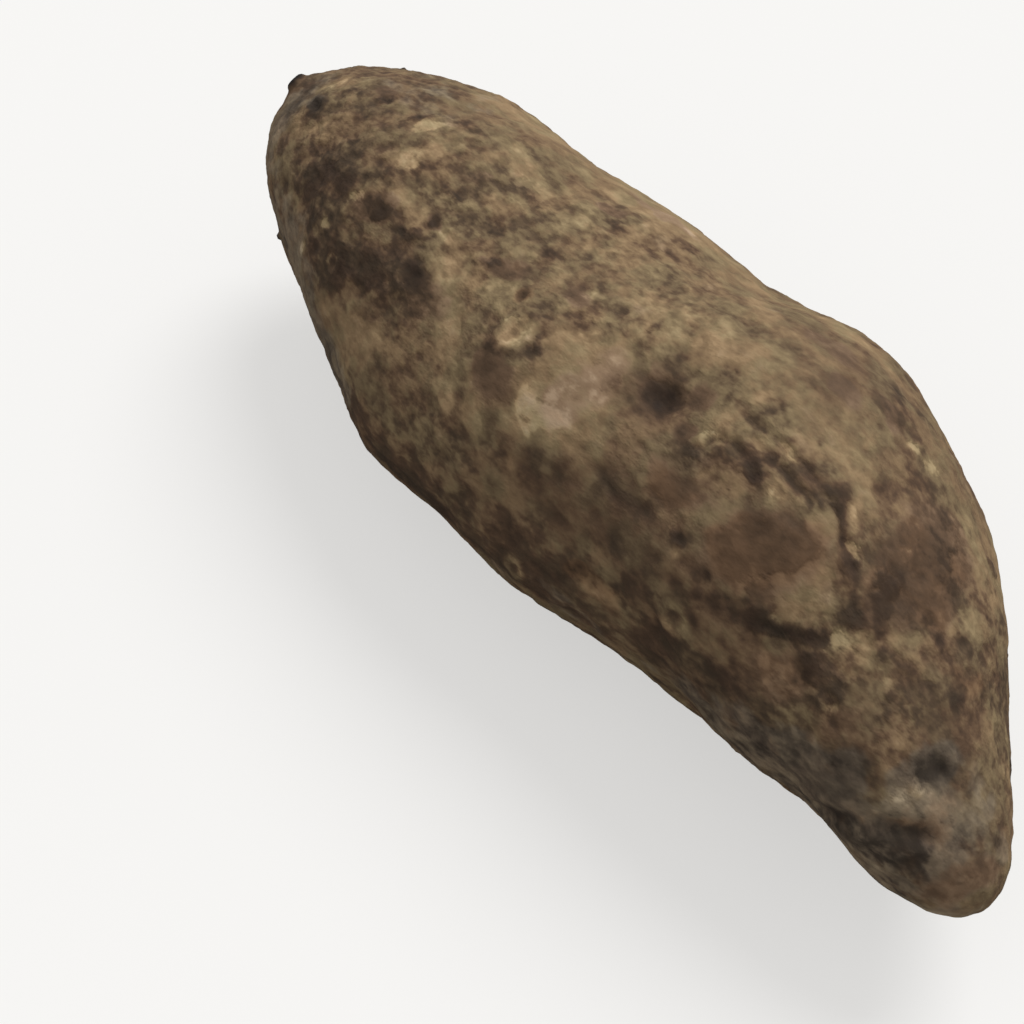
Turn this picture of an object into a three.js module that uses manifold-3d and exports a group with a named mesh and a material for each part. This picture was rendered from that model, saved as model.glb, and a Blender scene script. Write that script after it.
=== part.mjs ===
// An elephant foot yam tuber: one long, thick-skinned tuber lying on its side.
// Millimetres, +Z up. +X runs from the crown, where the shoot grew, to the thick tail end.
// The origin is under the middle of the tuber's box, on the surface that it lies on.
import * as THREE from "three";
import { mergeVertices } from "three/addons/utils/BufferGeometryUtils.js";
import Module from "manifold-3d";

// Driving dimensions.
const LENGTH = 275; // crown to tail
const BLUNTNESS = 2.6; // 2 gives an ellipsoid's ends, more makes them blunter
const FLAT_DEPTH = 2.2; // how far the resting spot is worn into the lowest point

// Stations at equal steps from crown to tail.
const SPINE_Y = [-4, -2, -3, -4, -3, 0, -3, -12, -26]; // sideways place of the spine
const HALF_WIDTH = [45, 45, 46, 49, 48, 47, 44, 38, 33]; // before the ends round it off
const HALF_HEIGHT = [44, 43, 43, 42, 42, 44, 42, 37, 30]; // the same
const BELLY_Z = [8, 5, 2, 0, 0, 1, 3, 4, 5]; // how far the belly clears the lowest point

// Resolution of the faceted skin.
const RINGS = 54; // from crown to tail
const SIDES = 56; // around

// Swellings and hollows, each a smooth mound along the skin's normal.
// along: share of the way from crown to tail. around: degrees from +Y, with 90 on top.
// height: at its middle, negative for a hollow. spread: how wide it is.
const MOUNDS = [
  { name: "shoulder", along: 0.64, around: 38, height: 0.9, spread: 13 },
  { name: "waist", along: 0.55, around: 50, height: -1.2, spread: 13 },
  { name: "crown_slope", along: 0.3, around: 60, height: 0.8, spread: 14 },
  { name: "crown_cheek", along: 0.16, around: 190, height: -1.6, spread: 16 },
  { name: "flank_bulge", along: 0.345, around: 200, height: 1.0, spread: 14 },
  { name: "tail_notch", along: 0.85, around: 196, height: -2.2, spread: 8 },
  { name: "tail_lobe", along: 0.93, around: 203, height: 1.2, spread: 11 },
  { name: "big_eye", along: 0.6, around: 112, height: -2.6, spread: 7 },
  { name: "brown_lobe", along: 0.74, around: 128, height: 1.5, spread: 15 },
  { name: "lobe_groove", along: 0.79, around: 146, height: -1.4, spread: 8 },
  { name: "back_hollow", along: 0.4, around: 350, height: -2.2, spread: 20 },
  { name: "back_bulge", along: 0.2, around: 8, height: 1.8, spread: 18 },
  { name: "shoot_scar", along: 0.02, around: 100, height: 1.6, spread: 3.5 },
];

// Slow waves that keep the skin from being a true ellipse anywhere.
// Each runs along a direction with a wavelength and a height.
const WAVES = [
  { direction: [0.9, 0.3, 0.3], length: 71, height: 0.55, phase: 0.4 },
  { direction: [0.5, -0.8, 0.35], length: 53, height: 0.45, phase: 2.1 },
  { direction: [0.7, 0.2, -0.7], length: 43, height: 0.4, phase: 4.0 },
  { direction: [0.2, 0.6, 0.8], length: 37, height: 0.3, phase: 1.3 },
  { direction: [0.8, -0.5, 0.4], length: 29, height: 0.22, phase: 5.2 },
];

const SKIN = new THREE.MeshStandardMaterial({
  name: "tuber_skin",
  color: "#6f5f4a",
  roughness: 0.75,
  metalness: 0,
});

// The value of a smooth Catmull-Rom curve through equally spaced stations, at a share of its way.
function alongStations(stations, share) {
  const last = stations.length - 1;
  const at = THREE.MathUtils.clamp(share, 0, 1) * last;
  const i = Math.min(Math.floor(at), last - 1);
  const f = at - i;
  const before = i > 0 ? stations[i - 1] : 2 * stations[0] - stations[1];
  const after = i + 2 <= last ? stations[i + 2] : 2 * stations[last] - stations[last - 1];
  const [b, c] = [stations[i], stations[i + 1]];
  const square = 2 * before - 5 * b + 4 * c - after;
  const cube = 3 * b - before - 3 * c + after;
  return 0.5 * (2 * b + (c - before) * f + square * f ** 2 + cube * f ** 3);
}

// A point of the plain body: an ellipse carried along the spine and rounded off at both ends.
function bodyPoint(polar, turn) {
  const reach = -Math.cos(polar);
  const share = (1 + reach) / 2;
  const cap = Math.sqrt(Math.max(0, 1 - Math.abs(reach) ** BLUNTNESS));
  const width = alongStations(HALF_WIDTH, share);
  const height = alongStations(HALF_HEIGHT, share);
  return new THREE.Vector3(
    (LENGTH / 2) * reach,
    alongStations(SPINE_Y, share) + width * cap * Math.cos(turn),
    alongStations(BELLY_Z, share) + height + height * cap * Math.sin(turn),
  );
}

// The point of the plain body at a share of its length and an angle in degrees.
function bodyPointAt(along, around) {
  return bodyPoint(Math.acos(1 - 2 * along), THREE.MathUtils.degToRad(around));
}

// The plain body as a closed mesh: rings of points between the two poles.
function bodyGeometry() {
  const points = [bodyPoint(0, 0)];
  for (let ring = 1; ring < RINGS; ring++)
    for (let side = 0; side < SIDES; side++)
      points.push(bodyPoint((Math.PI * ring) / RINGS, (2 * Math.PI * side) / SIDES));
  points.push(bodyPoint(Math.PI, 0));

  const faces = [];
  const tail = points.length - 1;
  const at = (ring, side) => 1 + (ring - 1) * SIDES + (side % SIDES);
  for (let side = 0; side < SIDES; side++) {
    faces.push(0, at(1, side + 1), at(1, side));
    for (let ring = 1; ring < RINGS - 1; ring++) {
      const [a, b] = [at(ring, side), at(ring, side + 1)];
      const [c, d] = [at(ring + 1, side + 1), at(ring + 1, side)];
      faces.push(a, b, c, a, c, d);
    }
    faces.push(tail, at(RINGS - 1, side), at(RINGS - 1, side + 1));
  }
  const geometry = new THREE.BufferGeometry().setFromPoints(points).setIndex(faces);
  geometry.computeVertexNormals();
  return geometry;
}

// How far the skin stands out at a point: the mounds, which fade as a bell curve, and the waves.
function reliefAt(point, mounds, waves) {
  let height = 0;
  for (const mound of mounds)
    height += mound.height * Math.exp(-point.distanceToSquared(mound.centre) / (2 * mound.spread ** 2));
  for (const wave of waves)
    height += wave.height * Math.sin((2 * Math.PI * point.dot(wave.along)) / wave.length + wave.phase);
  return height;
}

// Moves each point of the body out along its normal by the relief.
function raiseRelief(geometry) {
  const mounds = MOUNDS.map((mound) => ({ ...mound, centre: bodyPointAt(mound.along, mound.around) }));
  const waves = WAVES.map((wave) => ({ ...wave, along: new THREE.Vector3(...wave.direction).normalize() }));
  const { position, normal } = geometry.attributes;
  const point = new THREE.Vector3();
  const outward = new THREE.Vector3();
  for (let i = 0; i < position.count; i++) {
    point.fromBufferAttribute(position, i);
    outward.fromBufferAttribute(normal, i);
    point.addScaledVector(outward, reliefAt(point, mounds, waves));
    position.setXYZ(i, point.x, point.y, point.z);
  }
  return geometry;
}

// A closed three.js geometry as a manifold-3d solid.
function toSolid(wasm, geometry) {
  const bare = geometry.clone();
  bare.deleteAttribute("normal");
  bare.deleteAttribute("uv");
  const merged = mergeVertices(bare);
  return new wasm.Manifold(
    new wasm.Mesh({
      numProp: 3,
      vertProperties: new Float32Array(merged.attributes.position.array),
      triVerts: new Uint32Array(merged.index.array),
    }),
  );
}

// A manifold-3d solid as a three.js geometry.
function toGeometry(solid) {
  const { vertProperties, triVerts } = solid.getMesh();
  const geometry = new THREE.BufferGeometry();
  geometry.setAttribute("position", new THREE.BufferAttribute(vertProperties, 3));
  geometry.setIndex(new THREE.BufferAttribute(triVerts, 1));
  return geometry;
}

// Cuts the resting spot: everything below the worn plane goes, which leaves one flat face.
function wearFlat(wasm, geometry) {
  geometry.computeBoundingBox();
  const plane = geometry.boundingBox.min.z + FLAT_DEPTH;
  const slab = new THREE.BoxGeometry(2 * LENGTH, LENGTH, LENGTH);
  slab.translate(0, 0, plane - LENGTH / 2);
  return toGeometry(toSolid(wasm, geometry).subtract(toSolid(wasm, slab)));
}

// Puts the origin under the middle of the box, on the resting plane.
function standOnOrigin(geometry) {
  geometry.computeBoundingBox();
  const { min, max } = geometry.boundingBox;
  return geometry.translate(-(min.x + max.x) / 2, -(min.y + max.y) / 2, -min.z);
}

const wasm = await Module();
wasm.setup();

const tuber = new THREE.Mesh(standOnOrigin(wearFlat(wasm, raiseRelief(bodyGeometry()))), SKIN);
tuber.name = "tuber";

const yam = new THREE.Group();
yam.add(tuber);

export default yam;
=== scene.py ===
"""The looks of an elephant foot yam tuber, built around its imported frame.

The tuber grew as one piece, and one closed skin stands for it. The skin repeats the construction's shape
on a finer grid and adds what a real one has: bud pits, ring scars, furrows, steps of peeling cork and
wrinkles. Lengths are millimetres until a mesh is made. A place on the skin is its share of the way from
crown to tail, along, and its angle in degrees around the axis, with 0 at +Y and 90 on top.
"""

import logging
import math
from collections.abc import Sequence
from dataclasses import dataclass
from enum import Enum
from functools import partial

import bpy
import numpy as np
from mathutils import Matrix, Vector


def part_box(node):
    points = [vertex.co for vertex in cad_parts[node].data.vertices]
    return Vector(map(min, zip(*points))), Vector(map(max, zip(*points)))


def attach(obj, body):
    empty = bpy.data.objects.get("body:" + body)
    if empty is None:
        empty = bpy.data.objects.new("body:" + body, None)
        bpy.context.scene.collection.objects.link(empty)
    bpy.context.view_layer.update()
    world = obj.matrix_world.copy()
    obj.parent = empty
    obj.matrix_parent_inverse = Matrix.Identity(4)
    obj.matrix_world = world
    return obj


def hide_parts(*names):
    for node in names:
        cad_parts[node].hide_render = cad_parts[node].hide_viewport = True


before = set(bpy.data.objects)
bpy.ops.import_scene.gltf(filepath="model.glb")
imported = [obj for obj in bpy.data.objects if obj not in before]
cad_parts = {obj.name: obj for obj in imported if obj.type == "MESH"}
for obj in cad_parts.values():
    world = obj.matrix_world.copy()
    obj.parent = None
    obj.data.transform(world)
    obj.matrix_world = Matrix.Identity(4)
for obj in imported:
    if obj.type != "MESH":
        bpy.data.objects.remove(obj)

LOG = logging.getLogger("yam")
Array = np.ndarray
Source = bpy.types.Node | bpy.types.NodeSocket  # what an input is linked to
MM = 0.001
CAD_NODE = "tuber"
BODY = "root"


# ---------------------------------------------------------------- small helpers


def linear(hex_colour: str) -> tuple[float, float, float, float]:
    """Turns an sRGB hex colour into the linear colour that a socket takes.

    Args:
        hex_colour: Such as "#8a7556".

    Returns:
        Red, green, blue and an alpha of 1.
    """
    srgb = np.array([int(hex_colour[i : i + 2], 16) for i in (1, 3, 5)]) / 255
    values = np.where(srgb <= 0.04045, srgb / 12.92, ((srgb + 0.055) / 1.055) ** 2.4)
    return (*values.tolist(), 1.0)


def smooth(low: float, high: float, value: Array) -> Array:
    """Rises from 0 at low to 1 at high along 3t^2 - 2t^3, and falls if low is above high."""
    t = np.clip((value - low) / (high - low), 0, 1)
    return t * t * (3 - 2 * t)


def bell(distance: Array, spread: float) -> Array:
    """A bell curve of the distance: exp(-distance^2 / (2 spread^2))."""
    return np.exp(-(distance**2) / (2 * spread**2))


def make_object(name: str, points: Array, faces: Array) -> bpy.types.Object:
    """Makes a smooth-shaded mesh object at the origin.

    Args:
        name: The piece's name.
        points: Vertices in millimetres, one row each.
        faces: Quads as vertex numbers, one row each, facing outwards.

    Returns:
        The object, linked to the scene.
    """
    mesh = bpy.data.meshes.new(name)
    mesh.vertices.add(len(points))
    mesh.vertices.foreach_set("co", (points * MM).astype(np.float32).ravel())
    mesh.loops.add(faces.size)
    mesh.loops.foreach_set("vertex_index", faces.astype(np.int32).ravel())
    mesh.polygons.add(len(faces))
    mesh.polygons.foreach_set("loop_start", np.arange(0, faces.size, 4, dtype=np.int32))
    mesh.update(calc_edges=True)
    mesh.polygons.foreach_set("use_smooth", np.ones(len(faces), bool))
    made = bpy.data.objects.new(name, mesh)
    bpy.context.scene.collection.objects.link(made)
    return made


def add_node(
    tree: bpy.types.NodeTree,
    kind: str,
    inputs: dict | None = None,
    stops: Sequence[tuple[float, str]] = (),
    **settings: object,
) -> bpy.types.Node:
    """Adds a node to a tree.

    Args:
        tree: The node tree.
        kind: The node's type.
        inputs: Per input name or number, the value or hex colour that it holds, or the socket or node
            that it is linked to, where a node stands for its first output in use.
        stops: Of a colour ramp: values and hex colours, in rising order.
        settings: The node's own settings.

    Returns:
        The node.
    """
    node = tree.nodes.new(kind)
    for name, value in settings.items():
        setattr(node, name, value)
    for number, (position, colour) in enumerate(stops):
        elements = node.color_ramp.elements
        element = elements[number] if number < 2 else elements.new(position)
        element.position = position
        element.color = linear(colour)
    for name, value in (inputs or {}).items():
        if isinstance(value, bpy.types.Node):
            value = next(socket for socket in value.outputs if socket.enabled)
        if isinstance(value, bpy.types.NodeSocket):
            tree.links.new(value, node.inputs[name])
        else:
            node.inputs[name].default_value = linear(value) if isinstance(value, str) else value
    return node


class LatticeNoise:
    """Smooth seeded noise: a random gradient at each point of a cubic lattice, blended in between."""

    CELLS = 32
    CORNERS = np.array([(x, y, z) for x in (0, 1) for y in (0, 1) for z in (0, 1)])
    GAIN = 1.6  # brings it to about -1 to 1
    OCTAVE_SHIFT = 7.3  # keeps the octaves from lining up

    def __init__(self, seed: int) -> None:
        """Draws the gradients.

        Args:
            seed: Of the draws.
        """
        draws = np.random.default_rng(seed).normal(size=(self.CELLS,) * 3 + (3,))
        self.gradients = draws / np.linalg.norm(draws, axis=-1, keepdims=True)

    def at(self, points: Array, wavelength: float) -> Array:
        """The noise at some points.

        In each lattice cell it is the sum over the eight corners of gradient . offset, each weighted by
        the product of the quintic fades 6t^5 - 15t^4 + 10t^3 along the three axes.

        Args:
            points: One row each.
            wavelength: The size of a lattice cell.

        Returns:
            A value for each, from about -1 to 1.
        """
        scaled = points / wavelength
        cell = np.floor(scaled).astype(int)
        part = scaled - cell
        fade = part**3 * (part * (part * 6 - 15) + 10)
        total = np.zeros(len(points))
        for corner in self.CORNERS:
            x, y, z = ((cell + corner) % self.CELLS).T
            weight = np.prod(np.where(corner, fade, 1 - fade), axis=1)
            total += weight * np.einsum("ij,ij->i", self.gradients[x, y, z], part - corner)
        return self.GAIN * total

    def fractal(self, points: Array, wavelength: float, octaves: int, gain: float = 0.5) -> Array:
        """Noise summed over octaves, each half as long and gain times as high as the one before.

        Args:
            points: One row each.
            wavelength: Of the first octave.
            octaves: How many there are.
            gain: How high each is, over the one before.

        Returns:
            A value for each point, as strong as a single octave's.
        """
        heights = [gain**i for i in range(octaves)]
        layers = [
            h * self.at(points + self.OCTAVE_SHIFT * i, wavelength / 2**i) for i, h in enumerate(heights)
        ]
        return sum(layers) / math.sqrt(sum(h * h for h in heights))


@dataclass(frozen=True)
class Unevenness:
    """One layer of noise on the skin.

    Args:
        height: How strong it is.
        size: The wavelength of its largest octave, in millimetres.
        octaves: How many it has.
        shift: Moves it to another part of the noise.
        squeeze: What a place's x is multiplied by, so that under 1 draws it out along the tuber.
    """

    height: float
    size: float
    octaves: int
    shift: float = 0
    squeeze: float = 1

    def at(self, noise: LatticeNoise, points: Array) -> Array:
        """Its value at some points."""
        moved = points * (self.squeeze, 1, 1) + self.shift
        return self.height * noise.fractal(moved, self.size, self.octaves)


# ---------------------------------------------------------------- the tuber's shape


@dataclass(frozen=True)
class Mound:
    """A swelling, or a hollow if its height is negative, that fades as a bell curve.

    Args:
        along: Its middle, as a share of the way from crown to tail.
        around: Its middle, in degrees.
        height: At its middle.
        spread: Of the bell curve.
    """

    along: float
    around: float
    height: float
    spread: float


@dataclass(frozen=True)
class Wave:
    """A slow swell of the skin, a sine along a direction.

    Args:
        direction: The way that it runs, of any length.
        length: From crest to crest.
        height: Of a crest.
        phase: In radians, at the middle of the axes.
    """

    direction: tuple[float, float, float]
    length: float
    height: float
    phase: float


class BodyShape:
    """The construction's formula for the tuber, in its own millimetres, before it is put on its origin."""

    LENGTH = 275
    BLUNTNESS = 2.6
    SPINE_Y = (-4, -2, -3, -4, -3, 0, -3, -12, -26)
    HALF_WIDTH = (45, 45, 46, 49, 48, 47, 44, 38, 33)
    HALF_HEIGHT = (44, 43, 43, 42, 42, 44, 42, 37, 30)
    BELLY_Z = (8, 5, 2, 0, 0, 1, 3, 4, 5)
    MOUNDS = (
        Mound(0.64, 38, 0.9, 13),  # shoulder
        Mound(0.55, 50, -1.2, 13),  # waist
        Mound(0.3, 60, 0.8, 14),  # crown slope
        Mound(0.16, 190, -1.6, 16),  # crown cheek
        Mound(0.345, 200, 1.0, 14),  # flank bulge
        Mound(0.85, 196, -2.2, 8),  # tail notch
        Mound(0.93, 203, 1.2, 11),  # tail lobe
        Mound(0.6, 112, -2.6, 7),  # big eye
        Mound(0.74, 128, 1.5, 15),  # brown lobe
        Mound(0.79, 146, -1.4, 8),  # lobe groove
        Mound(0.4, 350, -2.2, 20),  # back hollow
        Mound(0.2, 8, 1.8, 18),  # back bulge
        Mound(0.02, 100, 1.6, 3.5),  # shoot scar
    )
    WAVES = (
        Wave((0.9, 0.3, 0.3), 71, 0.55, 0.4),
        Wave((0.5, -0.8, 0.35), 53, 0.45, 2.1),
        Wave((0.7, 0.2, -0.7), 43, 0.4, 4.0),
        Wave((0.2, 0.6, 0.8), 37, 0.3, 1.3),
        Wave((0.8, -0.5, 0.4), 29, 0.22, 5.2),
    )

    @staticmethod
    def along_stations(stations: tuple, share: Array) -> Array:
        """A Catmull-Rom curve through evenly spaced stations.

        Args:
            stations: The values that it runs through.
            share: How far along it to look, from 0 to 1.

        Returns:
            The curve's value at each share.
        """
        values = np.array([2 * stations[0] - stations[1], *stations, 2 * stations[-1] - stations[-2]], float)
        last = len(stations) - 1
        at = np.clip(share, 0, 1) * last
        i = np.minimum(at.astype(int), last - 1)
        f = at - i
        a, b, c, d = (values[i + k] for k in range(4))
        square, cube = 2 * a - 5 * b + 4 * c - d, 3 * b - a - 3 * c + d
        return 0.5 * (2 * b + (c - a) * f + square * f**2 + cube * f**3)

    def plain(self, reach: Array, side: Array, rise: Array) -> Array:
        """Points of the plain body.

        Args:
            reach: From -1 at the crown to 1 at the tail.
            side: Sideways place in the section, as a share of its half width.
            rise: Upward place in the section, as a share of its half height.

        Returns:
            x = half the length times reach, y = spine + half width times side, and z = belly + half height
            times (1 + rise), in a last axis of three.
        """
        share = (1 + reach) / 2
        height = self.along_stations(self.HALF_HEIGHT, share)
        y = self.along_stations(self.SPINE_Y, share) + self.along_stations(self.HALF_WIDTH, share) * side
        z = self.along_stations(self.BELLY_Z, share) + height * (1 + rise)
        return np.stack([self.LENGTH / 2 * reach + 0 * y, y, z], axis=-1)

    def cap(self, reach: Array) -> Array:
        """How much of the section is left at a reach: the root of 1 - |reach|^bluntness."""
        return np.sqrt(np.clip(1 - np.abs(reach) ** self.BLUNTNESS, 0, None))

    def at(self, along: Array, around: Array) -> Array:
        """Points of the plain body.

        Args:
            along: Shares of the way from crown to tail.
            around: Angles in degrees.

        Returns:
            The places, in a last axis of three.
        """
        reach = 2 * np.asarray(along, float) - 1
        turn = np.radians(around)
        return self.plain(reach, self.cap(reach) * np.cos(turn), self.cap(reach) * np.sin(turn))

    def relief(self, points: Array) -> Array:
        """The mounds and waves: bell curves of the distance to each mound's middle, and sines.

        Args:
            points: Places on the plain body.

        Returns:
            How far the shape stands out of it at each.
        """
        total = np.zeros(len(points))
        for mound in self.MOUNDS:
            away = np.linalg.norm(points - self.at(mound.along, mound.around), axis=1)
            total += mound.height * bell(away, mound.spread)
        for wave in self.WAVES:
            way = np.array(wave.direction) / np.linalg.norm(wave.direction)
            total += wave.height * np.sin(2 * math.pi * (points @ way) / wave.length + wave.phase)
        return total


@dataclass(frozen=True)
class SkinGrid:
    """Quads over a closed body with no pole: a sleeve around its middle and a square patch on each end.

    Args:
        quarter: Cells along a quarter of the sleeve's edge, and along each side of an end patch.
        rows: Cells along the sleeve.
        patch_share: Half the end patch's width as a share of the section's.
    """

    quarter: int = 84
    rows: int = 242
    patch_share: float = 0.7

    def sleeve(self, body: BodyShape) -> tuple[Array, Array]:
        """The sleeve: reach = -cos(polar) in even steps of polar, and angles in even steps from -45 degrees.

        Args:
            body: The tuber's shape.

        Returns:
            Its points, by row and column, and its quads.
        """
        edge = (1 - self.patch_share**2) ** (1 / body.BLUNTNESS)
        polar = np.linspace(math.acos(edge), math.pi - math.acos(edge), self.rows + 1)
        reach = -np.cos(polar)[:, None]
        columns = 4 * self.quarter
        turn = 2 * math.pi * np.arange(columns)[None, :] / columns - math.pi / 4
        points = body.plain(reach, body.cap(reach) * np.cos(turn), body.cap(reach) * np.sin(turn))
        number = np.arange((self.rows + 1) * columns).reshape(self.rows + 1, columns)
        beside = np.roll(number, -1, axis=1)
        quads = np.stack([number[:-1], beside[:-1], beside[1:], number[1:]], axis=-1)
        return points, quads.reshape(-1, 4)

    def patch(self, body: BodyShape, end: int) -> Array:
        """An end patch: the square a, b from -1 to 1 laid on a disc by the concentric map, then on the end.

        The disc's radius is the larger of |a| and |b|, and its angle runs evenly along each side.

        Args:
            body: The tuber's shape.
            end: -1 for the crown and 1 for the tail.

        Returns:
            Its points, by a and b.
        """
        step = np.linspace(-1, 1, self.quarter + 1)
        a, b = np.meshgrid(step, step, indexing="ij")
        wide = np.abs(a) > np.abs(b)
        radius = np.where(wide, a, b)
        safe = np.where(radius == 0, 1, radius)
        turn = np.where(wide, math.pi / 4 * b / safe, math.pi / 2 - math.pi / 4 * a / safe)
        side = self.patch_share * radius * np.cos(turn)
        rise = self.patch_share * radius * np.sin(turn)
        reach = end * (1 - side**2 - rise**2) ** (1 / body.BLUNTNESS)
        return body.plain(reach, side, rise)

    def build(self, body: BodyShape) -> tuple[Array, Array]:
        """The whole grid, welded.

        Args:
            body: The tuber's shape.

        Returns:
            Its points, one row each, and its quads, facing outwards.
        """
        ring, quads = self.sleeve(body)
        rows, columns = ring.shape[:2]
        points, faces = [ring.reshape(-1, 3)], [quads]
        n = self.quarter
        rim_a = np.concatenate([np.full(n, n), np.arange(n, 0, -1), np.zeros(n, int), np.arange(n)])
        rim_b = np.concatenate([np.arange(n), np.full(n, n), np.arange(n, 0, -1), np.zeros(n, int)])
        for end, row in ((-1, 0), (1, rows - 1)):
            inner = self.patch(body, end)[1:-1, 1:-1].reshape(-1, 3)
            number = np.empty((n + 1, n + 1), int)
            number[1:-1, 1:-1] = (sum(map(len, points)) + np.arange(len(inner))).reshape(n - 1, n - 1)
            number[rim_a, rim_b] = row * columns + np.arange(columns)
            corners = [number[:-1, :-1], number[1:, :-1], number[1:, 1:], number[:-1, 1:]]
            faces.append(np.stack(corners[::end], axis=-1).reshape(-1, 4))
            points.append(inner)
        return np.concatenate(points), np.concatenate(faces)


def vertex_normals(points: Array, faces: Array) -> Array:
    """Normals of a mesh: each quad adds the cross product of its diagonals to its corners.

    Args:
        points: Its vertices, one row each.
        faces: Its quads, as vertex numbers.

    Returns:
        A unit normal for each vertex.
    """
    p = points[faces]
    cross = np.cross(p[:, 2] - p[:, 0], p[:, 3] - p[:, 1])
    total = np.stack(
        [np.bincount(faces.ravel(), np.repeat(cross[:, k], 4), len(points)) for k in range(3)], axis=1
    )
    return total / np.linalg.norm(total, axis=1, keepdims=True)


# ---------------------------------------------------------------- what is on the skin


class Field(Enum):
    """The skin's layers. Each is an attribute from 0 to 1 that the finish reads."""

    MOTTLE = "mottle"  # how thickly fine dark specks lie
    CORK = "cork"  # thin dark cork that has not peeled
    DARK = "dark"  # a darker tone, with no pattern of its own: darker skin, and painted shade on the lower flank, the crown's cheek and the tail's notch
    BROWN = "brown"  # smooth mauve-brown inner skin
    RUST = "rust"  # reddish brown inner skin
    TAN = "tan"  # bare tan underskin
    PALE = "pale"  # fresh pale flakes
    GREY = "grey"  # dusty grey bloom
    HOLLOW = "hollow"  # soil held in pits and furrows, and painted shade in them
    RIDGE = "ridge"  # 0 in a wrinkle's valley, 1 on its crest
    STUB = "stub"  # dead, dry shoot and root ends


class Kind(Enum):
    """What a patch of the skin is: the layers that make it up, each with its share."""

    SPECKLED = ((Field.MOTTLE, 1.0),)
    CORKY = ((Field.CORK, 1.0),)
    SHADED = ((Field.DARK, 1.0),)
    CRUST = ((Field.CORK, 0.7), (Field.DARK, 0.8))
    BROWN = ((Field.BROWN, 1.0),)
    RUSTY = ((Field.RUST, 1.0), (Field.BROWN, 0.3))
    MAUVE = ((Field.BROWN, 1.0), (Field.RUST, 0.45))
    BARE = ((Field.TAN, 1.0),)
    FLAKE = ((Field.TAN, 0.9), (Field.PALE, 0.9))
    PINK = ((Field.TAN, 0.9), (Field.RUST, 0.35), (Field.PALE, 0.35))
    GOLD = ((Field.TAN, 1.0), (Field.RUST, 0.25), (Field.PALE, 0.3))
    DUSTY = ((Field.GREY, 1.0),)
    ASH = ((Field.GREY, 0.35), (Field.TAN, 0.8), (Field.PALE, 0.7))
    DUN = ((Field.GREY, 0.9), (Field.TAN, 0.6))
    # Grey-brown grime, and painted shade where it lies in the tail's notch.
    GRIMY_AND_SHADED = ((Field.DARK, 1.0), (Field.GREY, 0.9))


@dataclass(frozen=True)
class Mark:
    """A patch of one kind: an ellipse on the skin whose outline the noise then frays.

    Args:
        kind: What it is.
        along: Its middle, as a share of the way from crown to tail.
        around: Its middle, in degrees.
        length: Its full length, in millimetres.
        width: Its full width.
        strength: Its value at the middle.
        turn: The angle from the tuber's axis to its length, in degrees, positive towards larger around.
    """

    kind: Kind
    along: float
    around: float
    length: float
    width: float
    strength: float = 1
    turn: float = 0


def several(kind: Kind, *rows: tuple[float, ...]) -> list[Mark]:
    """Marks of one kind.

    Args:
        kind: What they are.
        rows: For each, its along, around, length and width, then its strength and turn where they matter.

    Returns:
        The marks.
    """
    return [Mark(kind, *row) for row in rows]


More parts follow.
